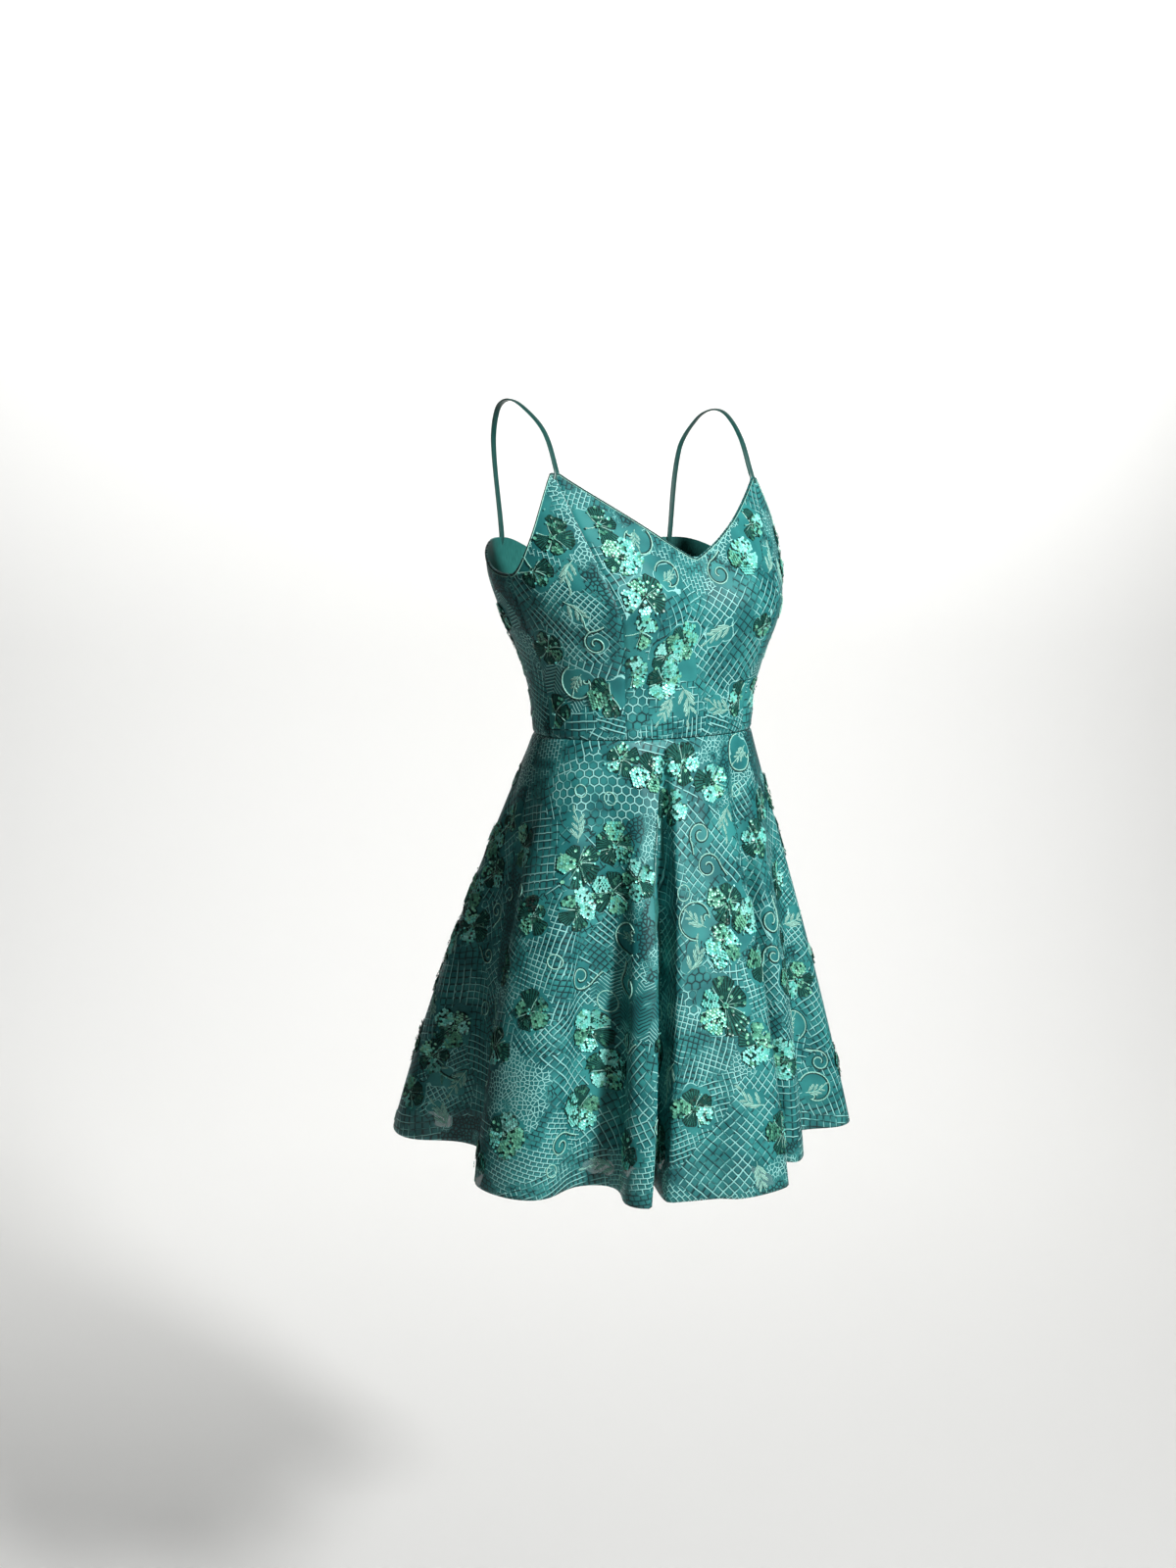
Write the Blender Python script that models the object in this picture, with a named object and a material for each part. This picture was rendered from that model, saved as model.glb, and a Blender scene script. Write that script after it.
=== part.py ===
"""A short cocktail dress: V-neck princess-seamed bodice on spaghetti straps, flared lace skirt over a lining.

Units are metres and +Z is up. The dress faces -Y, and +X is the wearer's left. The origin is where the
shoulders carry the dress: midway between the two straps, level with the underside of their tops.
Every cloth piece is a flat slab of its own thickness that is draped on one shared surface, so that
neighbouring pieces agree along their seams.
"""

import bisect
import math

import bmesh
import bpy
from mathutils import Matrix, Vector

# ---------------------------------------------------------------- driving sizes
WAIST_DROP = 0.330  # shoulder line down to the waist seam
SKIRT_DROP = 0.440  # waist seam down to the hem
LINING_SHORTER = 0.038  # the lining ends this far above the lace hem

SEAM_GAP = 0.0003
BODICE_WALL = 0.0020  # lace and its underlining, sewn as one layer
LACE_WALL = 0.0012
LINING_WALL = 0.0012
LINING_GAP = 0.0007  # the lining hangs this far inside the lace

NECK_DROP = 0.154  # shoulder line down to the point of the V
NECK_BOW = 0.006  # how far each side of the V is bowed up
STRAP_POINT_DROP = 0.072  # down to the front corners that the straps are sewn to
UNDERARM_DROP = 0.169
BACK_CORNER_DROP = 0.134  # down to the back corners that the straps are sewn to
BACK_DIP_DROP = 0.160  # down to the back neckline at the zip

STRAP_WIDTH = 0.0060
STRAP_WALL = 0.0020
STRAP_LAND = 0.0050  # half the flat top of each corner that carries a strap
STRAP_TRIM = 0.0005  # each strap stops this far short of its corners
STRAP_TRIM_SHARE = 0.02  # the share of its length over which each end is drawn back
CORNER_RADIUS = 0.12  # turns a short width along the bodice into an angle
ARMHOLE_SCOOP = 1.1  # 1 is a quarter of a sine wave, more hangs the armhole lower

ZIP_WIDTH = 0.020
ZIP_WALL = 0.0010
ZIP_GAP = 0.0007  # the tape lies this far inside the bodice backs
ZIP_BELOW_NECK = 0.0012  # the zip tape starts this far below the back neckline
ZIP_BELOW_WAIST = 0.150
ZIP_SLIT = 0.0125  # each lining back stops this far from the centre back beside the zip
ZIP_SLIT_BELOW_WAIST = 0.195
ZIP_SLIT_CLOSING = 0.10  # the share of the skirt's length over which that slit closes below

# The slider's side view, as (out from the dress, up from the back neckline): a leg behind the tape, a
# bridge over the neckline and an eye in front.
SLIDER_OUTLINE = (
    (-0.0064, -0.0085),
    (-0.0042, -0.0085),
    (-0.0042, 0.0006),
    (0.0004, 0.0006),
    (0.0004, -0.0035),
    (0.0045, -0.0035),
    (0.0045, 0.0008),
    (0.0014, 0.0008),
    (0.0014, 0.0022),
    (-0.0064, 0.0022),
)
SLIDER_FIN = 0.0014  # how wide the bridge and the eye are
SLIDER_BODY = (0.0022, 0.0080, 0.0046)  # the body behind the tape: thickness, length and width
SLIDER_BODY_CENTRE = (-0.0053, -0.0045)
EYE_CENTRE = (0.0027, -0.0014)
EYE_RADIUS = 0.0011
PULL_LENGTH = 0.0150
PULL_WALL = 0.0008
PULL_TOP_HALF = 0.0022
PULL_FOOT_RADIUS = 0.0030
PULL_BAR = 0.0010  # the pull's top bar, which turns in the slider's eye
PULL_HOLE_HALF = 0.0011
PULL_HOLE_LENGTH = 0.0028

# The figure's sections: half width, reach forward and back of the section's own centre, and how far
# that centre lies ahead of the shoulders.
FIGURE_COLUMNS = ("drop", "half_width", "front", "back", "ahead")
FIGURE = (
    (0.020, 0.1480, 0.052, 0.084, 0.030),
    (0.072, 0.1530, 0.062, 0.100, 0.036),
    (0.120, 0.1600, 0.083, 0.112, 0.041),
    (0.165, 0.1610, 0.098, 0.114, 0.044),
    (0.205, 0.1500, 0.105, 0.107, 0.048),
    (0.245, 0.1340, 0.098, 0.097, 0.050),
    (0.285, 0.1225, 0.090, 0.088, 0.052),
    (0.330, 0.1185, 0.087, 0.084, 0.053),
)
SQUARENESS = 2.3  # 2 is an ellipse, more is boxier

# Each cup swells the front by this much round its apex, and leans aside by a share of that.
CUP_RISE = 0.016
CUP_ASIDE = 0.35
CUP_DROP = 0.196
CUP_SIDE = 0.078
CUP_WIDTH = 0.040
CUP_HEIGHT = 0.042

# The princess seam runs from the strap corner over the apex to the waist.
PRINCESS_COLUMNS = ("drop", "angle")
PRINCESS = (
    (0.072, 51.5),
    (0.120, 43.5),
    (0.165, 37.5),
    (0.205, 35.5),
    (0.260, 35.0),
    (0.330, 35.0),
)
SIDE_ANGLE = 87.0
BACK_CORNER_ANGLE = 140.0

# The skirt's folds, from the centre back round by the wearer's right. Angles are in degrees from the
# centre front, positive to the wearer's left. Reach is the hem's distance from the skirt's axis, start
# is how far down the skirt the fold begins, onset is 1 for a fold that opens at an even rate and more
# for one that opens softly, and columns is how many facets lead on to the next fold.
FOLD_COLUMNS = ("name", "waist_angle", "hem_angle", "reach", "start", "onset", "columns")
FOLDS = (
    ("centre back valley", -180.0, -180.0, 0.180, 0.10, 1.25, 4),
    ("right back crest", -161.0, -164.0, 0.232, 0.06, 1.25, 4),
    ("right back valley", -144.0, -149.0, 0.184, 0.05, 1.25, 4),
    ("right rear crest", -126.0, -131.0, 0.252, 0.04, 1.25, 5),
    ("right side valley", -94.0, -98.0, 0.160, 0.05, 1.25, 5),
    ("right front crest", -70.0, -65.0, 0.230, 0.03, 1.10, 4),
    ("right front valley", -46.0, -43.0, 0.166, 0.03, 1.00, 4),
    ("edge crest", -18.5, -28.5, 0.226, 0.03, 1.00, 5),
    ("deep fold", -14.5, -26.0, 0.140, 0.03, 0.70, 5),
    ("panel shoulder", -10.5, -23.0, 0.214, 0.03, 1.00, 5),
    ("centre panel crest", 10.0, 8.0, 0.232, 0.03, 1.25, 4),
    ("left front valley", 21.0, 22.0, 0.146, 0.04, 0.85, 4),
    ("left small crest", 29.0, 27.5, 0.204, 0.06, 1.00, 4),
    ("left front hollow", 46.0, 48.0, 0.178, 0.08, 1.25, 4),
    ("left front crest", 66.0, 66.0, 0.254, 0.03, 1.25, 5),
    ("left side valley", 92.0, 92.0, 0.165, 0.05, 1.25, 5),
    ("left rear crest", 117.0, 118.0, 0.243, 0.04, 1.25, 4),
    ("left back valley", 141.0, 143.0, 0.182, 0.05, 1.25, 4),
    ("left back crest", 160.0, 162.0, 0.232, 0.06, 1.25, 4),
)
RIGHT_SIDE_FOLD = 4
LEFT_SIDE_FOLD = 15
FOLD_FULLNESS = 0.72  # 0 is a plain wave, 1 has upright walls between round crests
WAIST_FULLNESS = 0.25  # the share of that fullness there is at the waist
FULLNESS_GROWTH = 1.5  # how fast it grows down the skirt
HEM_RADIUS = 0.206  # the skirt's plain hem, before its folds
HEM_AHEAD = 0.020  # the hem's centre lies this far ahead of the shoulders
FLARE_BELL = 0.45  # 0 is a plain cone, more flares sooner, like a bell

# The points that a left strap's centreline runs through between its front and back corners.
STRAP_ROUTE = (
    (0.1220, -0.0560, -0.0330),
    (0.1280, -0.0240, -0.0065),
    (0.1290, 0.0000, 0.0000),
    (0.1260, 0.0230, -0.0080),
    (0.1180, 0.0440, -0.0400),
)

# How many facets there are across and down each piece.
FRONT_FACETS = (20, 11)
SIDE_FRONT_FACETS = (10, 11)
BACK_FACETS = (13, 8)
LINING_ROWS = 9
STRAP_FACETS = (2, 22)
TAPE_COLUMNS = 4
TAPE_BODICE_ROWS = 9
TAPE_SKIRT_ROWS = 5
EYE_SIDES = 24
PULL_FOOT_STEPS = 12
SHARP_ANGLE = 50.0  # an edge that turns by more is shaded sharp

# Short steps that directions and lengths on the surfaces are measured with.
ANGLE_STEP = 0.5  # degrees round the bodice
DROP_STEP = 0.002
FOLD_STEP = 0.02  # of the way to the next fold
FALL_STEP = 0.01  # of the skirt's length
STRAP_STEP = 0.01  # of the strap's length
CHORDS = 6  # between two folds

TEAL_SATIN = (0.032, 0.215, 0.195, 1.0)
TEAL_LACE = (0.050, 0.290, 0.260, 1.0)
DARK_STRAP = (0.012, 0.060, 0.055, 1.0)
ZIP_TEAL = (0.020, 0.120, 0.110, 1.0)
SLIDER_METAL = (0.040, 0.170, 0.150, 1.0)

# The collections that hold the pieces of the dress and the shapes that only cut or join them.
DRESS = "cocktail_dress"
HELPERS = "helpers"


# ---------------------------------------------------------------- tables and curves
def column(rows, names, name):
    """One named column of a table."""
    place = names.index(name)
    return [row[place] for row in rows]


def smooth_value(stations, values, at):
    """The value at a station, on a smooth curve through values given at rising stations."""
    last = len(stations) - 1
    low = min(max(bisect.bisect_right(stations, at) - 1, 0), last - 1)
    high = low + 1

    def slope(i):
        before = max(i - 1, 0)
        after = min(i + 1, last)
        return (values[after] - values[before]) / (stations[after] - stations[before])

    span = stations[high] - stations[low]
    s = (at - stations[low]) / span
    rise = values[high] - values[low]
    start = slope(low) * span
    end = slope(high) * span
    return values[low] + s * (start + s * (3 * rise - 2 * start - end + s * (start + end - 2 * rise)))


def mix(a, b, share):
    return a + (b - a) * share


def eased(share):
    """0 to 1, level at both ends."""
    return (1 - math.cos(math.pi * share)) / 2


def rounded_power(value):
    """A sine or cosine pushed outwards, which squares the ring off a little."""
    return math.copysign(abs(value) ** (2 / SQUARENESS), value)


# ---------------------------------------------------------------- the shared surfaces
def figure_point(angle, drop):
    """The bodice's outer surface at an angle in degrees from the centre front, so far below the shoulders."""
    drops = column(FIGURE, FIGURE_COLUMNS, "drop")
    half_width, front, back, ahead = (
        smooth_value(drops, column(FIGURE, FIGURE_COLUMNS, name), drop)
        for name in ("half_width", "front", "back", "ahead")
    )
    turn = math.radians(angle)
    side = half_width * rounded_power(math.sin(turn))
    forward = rounded_power(math.cos(turn))
    reach = front if forward > 0 else back
    rise = 0.0
    if forward > 0:
        across = (abs(side) - CUP_SIDE) / CUP_WIDTH
        down = (drop - CUP_DROP) / CUP_HEIGHT
        rise = CUP_RISE * math.exp(-(across**2 + down**2) / 2) * forward**0.5
    return Vector(
        (side + rise * CUP_ASIDE * math.sin(turn), -ahead - reach * forward - rise, -drop)
    )


def fold_row(index):
    """A fold by its number, counted on past the centre back with its angles a turn further."""
    turns, place = divmod(index, len(FOLDS))
    row = dict(zip(FOLD_COLUMNS, FOLDS[place]))
    row["waist_angle"] += 360.0 * turns
    row["hem_angle"] += 360.0 * turns
    return row


def fold_growth(row, fall):
    """How much of a fold's depth there is, so far down the skirt: a cone that opens from its start."""
    return max(0.0, (fall - row["start"]) / (1 - row["start"])) ** row["onset"]


def fold_spread(fall):
    """How far the cloth between two folds has gathered towards them, so far down the skirt."""
    return FOLD_FULLNESS * min(1.0, WAIST_FULLNESS + FULLNESS_GROWTH * fall)


def skirt_point(fold, fall):
    """The lace skirt's outer surface. A whole number for fold is that row of FOLDS, and fall is 0 at the
    waist seam and 1 at the hem."""
    index = math.floor(fold + 1e-9)
    share = fold - index
    here, after = fold_row(index), fold_row(index + 1)
    along = share + fold_spread(fall) * math.sin(2 * math.pi * share) / (2 * math.pi)
    angle = mix(
        mix(here["waist_angle"], here["hem_angle"], fall),
        mix(after["waist_angle"], after["hem_angle"], fall),
        along,
    )
    depth = mix(
        (here["reach"] - HEM_RADIUS) * fold_growth(here, fall),
        (after["reach"] - HEM_RADIUS) * fold_growth(after, fall),
        eased(share),
    )
    waist = figure_point((angle + 180.0) % 360.0 - 180.0, WAIST_DROP)
    turn = math.radians(angle)
    outward = Vector((math.sin(turn), -math.cos(turn), 0))
    hem = outward * HEM_RADIUS + Vector((0, -HEM_AHEAD, 0))
    flare = fall + FLARE_BELL * fall * (1 - fall)
    place = waist.lerp(hem, flare) + outward * depth
    place.z = -WAIST_DROP - SKIRT_DROP * fall
    return place


def normal_of(surface, across, down, step_across, step_down):
    """The outward normal of a surface, from two short steps on it."""
    along = surface(across + step_across, down) - surface(across - step_across, down)
    fallen = surface(across, down + step_down) - surface(across, down - step_down)
    return fallen.cross(along).normalized()


def bodice_inset(angle, drop, inset):
    """A point of the bodice moved in by inset."""
    return figure_point(angle, drop) - inset * normal_of(figure_point, angle, drop, ANGLE_STEP, DROP_STEP)


def skirt_inset(fold, fall, inset):
    """A point of the skirt moved in by inset."""
    return skirt_point(fold, fall) - inset * normal_of(skirt_point, fold, fall, FOLD_STEP, FALL_STEP)


# ---------------------------------------------------------------- making pieces
def make_material(name, colour, roughness, metallic=0.0):
    material = bpy.data.materials.new(name)
    material.use_nodes = True
    shader = material.node_tree.nodes["Principled BSDF"]
    shader.inputs["Base Color"].default_value = colour
    shader.inputs["Roughness"].default_value = roughness
    shader.inputs["Metallic"].default_value = metallic
    return material


def add_object(name, bm, material):
    """A named object from a finished bmesh, shaded smooth but for its sharp edges."""
    bmesh.ops.recalc_face_normals(bm, faces=bm.faces[:])
    mesh = bpy.data.meshes.new(name)
    bm.to_mesh(mesh)
    bm.free()
    mesh.materials.append(material)
    mesh.shade_smooth()
    mesh.set_sharp_from_angle(angle=math.radians(SHARP_ANGLE))
    piece = bpy.data.objects.new(name, mesh)
    bpy.data.collections[DRESS].objects.link(piece)


def drape_slab(name, columns, rows, place, material):
    """A flat slab of cloth, columns by rows, draped by place(across, down, depth): across and down run
    from 0 to 1 over the piece, and depth is 0 on its outer face and 1 on its inner face."""
    bm = bmesh.new()
    bmesh.ops.create_grid(bm, x_segments=columns, y_segments=rows, size=0.5)
    sheet = bmesh.ops.extrude_face_region(bm, geom=bm.faces[:])["geom"]
    inner = {item for item in sheet if isinstance(item, bmesh.types.BMVert)}
    for vertex in bm.verts:
        across = vertex.co.x + 0.5
        down = 0.5 - vertex.co.y
        vertex.co = place(across, down, 1.0 if vertex in inner else 0.0)
    add_object(name, bm, material)


# ---------------------------------------------------------------- bodice
def princess_angle(drop):
    drops = column(PRINCESS, PRINCESS_COLUMNS, "drop")
    return smooth_value(drops, column(PRINCESS, PRINCESS_COLUMNS, "angle"), drop)


def side_angle(drop):
    return SIDE_ANGLE


def centre_back_angle(drop):
    return 180.0


def land_share(width_angle):
    """The share of a top edge that the flat strap corner takes."""
    return math.degrees(STRAP_LAND / CORNER_RADIUS) / width_angle


def neckline_drop(across):
    """The centre front panel's top edge: flat corners, then the two sides of the V, bowed up a little."""
    from_centre = abs(2 * across - 1)
    land = land_share(princess_angle(STRAP_POINT_DROP))
    share = min(1.0, from_centre / (1 - land))
    return mix(NECK_DROP, STRAP_POINT_DROP, share) - NECK_BOW * math.sin(math.pi * share)


def armhole_drop(across):
    """The side front's top edge, from the strap corner down to the underarm."""
    land = land_share(SIDE_ANGLE - princess_angle(STRAP_POINT_DROP))
    share = max(0.0, (across - land) / (1 - land))
    return mix(STRAP_POINT_DROP, UNDERARM_DROP, math.sin(share * math.pi / 2) ** ARMHOLE_SCOOP)


def back_edge_drop(across):
    """The back's top edge, from the underarm up to the strap corner and down to the zip."""
    corner = (BACK_CORNER_ANGLE - SIDE_ANGLE) / (180.0 - SIDE_ANGLE)
    land = land_share(180.0 - SIDE_ANGLE)
    if across < corner - land:
        return mix(UNDERARM_DROP, BACK_CORNER_DROP, eased(across / (corner - land)))
    if across < corner + land:
        return BACK_CORNER_DROP
    return mix(BACK_CORNER_DROP, BACK_DIP_DROP, eased((across - corner - land) / (1 - corner - land)))


def bodice_panel(name, seams, top_drop, side, facets, material):
    """One bodice panel from its top edge to the waist, between two seams that are given as angles by drop.
    side is 1 for the wearer's left and -1 for the right, where the panel is mirrored, and facets is how
    many there are across and down."""
    bottom = WAIST_DROP - SEAM_GAP / 2
    seam_start, seam_end = seams
    gap = math.degrees(SEAM_GAP / 2 / CORNER_RADIUS)

    def place(across, down, depth):
        drop = mix(top_drop(across), bottom, down)
        start = seam_start(mix(top_drop(0), bottom, down)) + gap
        end = seam_end(mix(top_drop(1), bottom, down)) - gap
        return bodice_inset(side * mix(start, end, across), drop, depth * BODICE_WALL)

    drape_slab(name, *facets, place, material)


def other_princess_angle(drop):
    return -princess_angle(drop)


def make_bodice(material):
    front = (other_princess_angle, princess_angle)
    side_front = (princess_angle, side_angle)
    back = (side_angle, centre_back_angle)
    bodice_panel("bodice_front", front, neckline_drop, 1, FRONT_FACETS, material)
    for side, word in ((1, "left"), (-1, "right")):
        bodice_panel(f"bodice_side_front_{word}", side_front, armhole_drop, side, SIDE_FRONT_FACETS, material)
        bodice_panel(f"bodice_back_{word}", back, back_edge_drop, side, BACK_FACETS, material)


# ---------------------------------------------------------------- skirt
def fold_stations(first, last):
    """The columns of a skirt panel as fold numbers, as many between two folds as FOLDS gives."""
    stations = []
    for index in range(first, last):
        steps = fold_row(index)["columns"]
        stations += [index + step / steps for step in range(steps)]
    return stations + [float(last)]


def skirt_rows(length):
    """The rows of a skirt panel as falls. The lace has the lining's rows and one more, at its own hem."""
    lined = 1 - LINING_SHORTER / SKIRT_DROP
    edge = SEAM_GAP / 2 / SKIRT_DROP
    rows = [mix(edge, lined, row / LINING_ROWS) for row in range(LINING_ROWS + 1)]
    return rows if length <= lined else [*rows, length]


def skirt_panel(name, folds, length, outer, wall, slit, material):
    """A skirt panel from the first to the last of folds. Its outer face lies outer inside the lace's, it
    is length of the skirt long, and slit is the centre back edge's distance from the seam by fall."""
    stations = fold_stations(*folds)
    falls = skirt_rows(length)

    def place(across, down, depth):
        fold = stations[round(across * (len(stations) - 1))]
        fall = falls[round(down * (len(falls) - 1))]
        return skirt_inset(inside_seams(fold, *folds, fall, slit), fall, outer + depth * wall)

    drape_slab(name, len(stations) - 1, len(falls) - 1, place, material)


def cloth_share(index, fall, width):
    """The share of the way from a fold to the next that this width of cloth takes beside either of them."""
    places = [skirt_point(index + step / CHORDS, fall) for step in range(CHORDS + 1)]
    length = sum((b - a).length for a, b in zip(places, places[1:]))
    return width / (length * (1 + fold_spread(fall)))


def inside_seams(fold, first, last, fall, slit):
    """Moves a panel's edge columns in from the seams, by half a gap or by the slit at the centre back."""
    ends = (0, len(FOLDS))
    start = first + cloth_share(first, fall, slit(fall) if first in ends else SEAM_GAP / 2)
    end = last - cloth_share(last - 1, fall, slit(fall) if last in ends else SEAM_GAP / 2)
    return min(max(fold, start), end)


def lace_slit(fall):
    """The lace is closed down the centre back."""
    return SEAM_GAP / 2


def lining_slit(fall):
    """The lining is sewn back from the zip, and closes below it."""
    below = min(1.0, max(0.0, (fall - ZIP_SLIT_BELOW_WAIST / SKIRT_DROP) / ZIP_SLIT_CLOSING))
    return mix(ZIP_SLIT, SEAM_GAP / 2, below)


def make_skirt(lace, satin):
    lined = 1.0 - LINING_SHORTER / SKIRT_DROP
    inside = LACE_WALL + LINING_GAP
    panels = (
        ("back_right", (0, RIGHT_SIDE_FOLD)),
        ("front", (RIGHT_SIDE_FOLD, LEFT_SIDE_FOLD)),
        ("back_left", (LEFT_SIDE_FOLD, len(FOLDS))),
    )
    for word, folds in panels:
        skirt_panel(f"skirt_lace_{word}", folds, 1.0, 0.0, LACE_WALL, lace_slit, lace)
        skirt_panel(f"skirt_lining_{word}", folds, lined, inside, LINING_WALL, lining_slit, satin)


# ---------------------------------------------------------------- straps
def strap_centre(along):
    """A point of a left strap's centreline, on its underside, from 0 at the front corner to 1 at the back."""
    front = figure_point(princess_angle(STRAP_POINT_DROP), STRAP_POINT_DROP)
    back = figure_point(BACK_CORNER_ANGLE, BACK_CORNER_DROP)
    route = [front, *(Vector(point) for point in STRAP_ROUTE), back]
    lengths = [0.0]
    for a, b in zip(route, route[1:]):
        lengths.append(lengths[-1] + (b - a).length)
    at = along * lengths[-1]
    return Vector([smooth_value(lengths, [p[axis] for p in route], at) for axis in range(3)])


def strap_frame(along):
    """The strap's directions there: along its centreline, level across it and up from it."""
    after = strap_centre(min(1.0, along + STRAP_STEP))
    before = strap_centre(max(0.0, along - STRAP_STEP))
    ahead = (after - before).normalized()
    sideways = (Vector((1, 0, 0)) - ahead * ahead.x).normalized()
    up = sideways.cross(ahead)
    return ahead, sideways, up if up.z > 0 else -up


def strap_point(across, along, depth):
    """A point of a left strap, drawn back from its corners at both ends."""
    ahead, sideways, up = strap_frame(along)
    trim = STRAP_TRIM * (1 - min(1.0, min(along, 1 - along) / STRAP_TRIM_SHARE))
    flat = sideways * (across - 0.5) * STRAP_WIDTH + up * (1 - depth) * STRAP_WALL
    return strap_centre(along) + flat + ahead * math.copysign(trim, 0.5 - along)


def mirrored_strap_point(across, along, depth):
    point = strap_point(across, along, depth)
    point.x = -point.x
    return point


def make_straps(material):
    drape_slab("strap_left", *STRAP_FACETS, strap_point, material)
    drape_slab("strap_right", *STRAP_FACETS, mirrored_strap_point, material)


# ---------------------------------------------------------------- zip
def back_angle(side, drop):
    """The bodice angle of the point that lies side to the wearer's left of the centre back."""
    half_width = smooth_value(
        column(FIGURE, FIGURE_COLUMNS, "drop"), column(FIGURE, FIGURE_COLUMNS, "half_width"), drop
    )
    turn = math.asin((abs(side) / half_width) ** (SQUARENESS / 2))
    return math.copysign(180.0 - math.degrees(turn), side)


def make_zip_tape(material):
    """The tape follows the inside of the bodice backs, then of the skirt."""
    inset = BODICE_WALL + ZIP_GAP
    top = BACK_DIP_DROP + ZIP_BELOW_NECK
    rows = TAPE_BODICE_ROWS + TAPE_SKIRT_ROWS

    def place(across, down, depth):
        side = (across - 0.5) * ZIP_WIDTH
        into = inset + depth * ZIP_WALL
        row = round(down * rows)
        if row <= TAPE_BODICE_ROWS:
            drop = mix(top, WAIST_DROP, row / TAPE_BODICE_ROWS)
            return bodice_inset(back_angle(side, drop), drop, into)
        fall = (row - TAPE_BODICE_ROWS) / TAPE_SKIRT_ROWS * ZIP_BELOW_WAIST / SKIRT_DROP
        beside = len(FOLDS) - 1 if side > 0 else 0
        return skirt_inset(-math.copysign(cloth_share(beside, fall, abs(side)), side), fall, into)

    drape_slab("zip_tape", TAPE_COLUMNS, rows, place, material)


def arc(centre, radius, start, end, steps):
    """Points on an arc, with its angles in degrees."""
    turns = [math.radians(mix(start, end, step / steps)) for step in range(steps + 1)]
    return [(centre[0] + radius * math.cos(turn), centre[1] + radius * math.sin(turn)) for turn in turns]


def plate_object(name, outlines, thickness, placing, material):
    """A flat plate from closed outlines, the inner ones being holes, turned and placed by a matrix."""
    curve = bpy.data.curves.new(name, "CURVE")
    curve.dimensions = "2D"
    curve.fill_mode = "BOTH"
    curve.extrude = thickness / 2
    for outline in outlines:
        spline = curve.splines.new("POLY")
        spline.points.add(len(outline) - 1)
        for point, (x, y) in zip(spline.points, outline):
            point.co = (x, y, 0, 1)
        spline.use_cyclic_u = True
    curve.materials.append(material)
    drawn = bpy.data.objects.new(name, curve)
    mesh = bpy.data.meshes.new_from_object(drawn)
    bpy.data.objects.remove(drawn)
    bm = bmesh.new()
    bm.from_mesh(mesh)
    bmesh.ops.remove_doubles(bm, verts=bm.verts[:], dist=1e-6)
    bm.to_mesh(mesh)
    bm.free()
    plate = bpy.data.objects.new(name, mesh)
    plate.matrix_world = placing
    bpy.data.collections[DRESS].objects.link(plate)
    return plate


def zip_placing():
    """The slider's own frame: X out from the dress and Y up along it, at the back neckline."""
    top = figure_point(180.0, BACK_DIP_DROP)
    reach = -SLIDER_OUTLINE[0][1]
    outward = normal_of(figure_point, 180.0, BACK_DIP_DROP + reach, ANGLE_STEP, reach)
    upward = Vector((0, -outward.z, outward.y))
    turn = Matrix((outward, upward, outward.cross(upward))).transposed()
    return Matrix.Translation(top) @ turn.to_4x4()


def make_slider(material):
    """The bridge and eye as a flat fin, with the slider's body joined on behind the tape."""
    placing = zip_placing()
    eye = arc(EYE_CENTRE, EYE_RADIUS, 0, 360 - 360 / EYE_SIDES, EYE_SIDES - 1)
    slider = plate_object("zip_slider", (SLIDER_OUTLINE, eye), SLIDER_FIN, placing, material)
    bm = bmesh.new()
    bmesh.ops.create_cube(bm, size=1, matrix=Matrix.Diagonal((*SLIDER_BODY, 1)))
    mesh = bpy.data.meshes.new("slider_body")
    bm.to_mesh(mesh)
    bm.free()
    body = bpy.data.objects.new("slider_body", mesh)
    body.matrix_world = placing @ Matrix.Translation((*SLIDER_BODY_CENTRE, 0))
    body.hide_render = True
    body.display_type = "WIRE"
    bpy.data.collections[HELPERS].objects.link(body)
    union = slider.modifiers.new("body", "BOOLEAN")
    union.operation = "UNION"
    union.object = body


def make_pull(material):
    """The pull hangs straight down from the slider's eye. Its origin is on the bar that turns there."""
    bar = PULL_BAR / 2
    foot = bar - PULL_LENGTH + PULL_FOOT_RADIUS
    shoulder = -bar - PULL_HOLE_LENGTH - PULL_BAR
    plate = [
        (-PULL_TOP_HALF, bar),
        (-PULL_TOP_HALF, shoulder),
        *arc((0, foot), PULL_FOOT_RADIUS, 180, 360, PULL_FOOT_STEPS),
        (PULL_TOP_HALF, shoulder),
        (PULL_TOP_HALF, bar),
    ]
    hole = [
        (-PULL_HOLE_HALF, -bar),
        (-PULL_HOLE_HALF, -bar - PULL_HOLE_LENGTH),
        (PULL_HOLE_HALF, -bar - PULL_HOLE_LENGTH),
        (PULL_HOLE_HALF, -bar),
    ]
    axis = zip_placing() @ Vector((*EYE_CENTRE, 0))
    placing = Matrix.Translation(axis) @ Matrix.Rotation(math.radians(90), 4, "X")
    plate_object("zip_pull", (plate, hole), PULL_WALL, placing, material)


# ---------------------------------------------------------------- assembly
def clear_scene():
    for item in list(bpy.data.objects):
        bpy.data.objects.remove(item)


def main():
    clear_scene()
    for name in (DRESS, HELPERS):
        bpy.context.scene.collection.children.link(bpy.data.collections.new(name))
    lace = make_material("teal_lace", TEAL_LACE, 0.55)
    make_bodice(lace)
    make_skirt(lace, make_material("teal_satin", TEAL_SATIN, 0.38))
    make_straps(make_material("strap_satin", DARK_STRAP, 0.45))
    make_zip_tape(make_material("zip_tape_teal", ZIP_TEAL, 0.7))
    enamel = make_material("slider_enamel", SLIDER_METAL, 0.35, 0.6)
    make_slider(enamel)
    make_pull(enamel)


main()
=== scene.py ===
import math

import bmesh
import bpy
import numpy as np
from mathutils import Matrix, Vector


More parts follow.
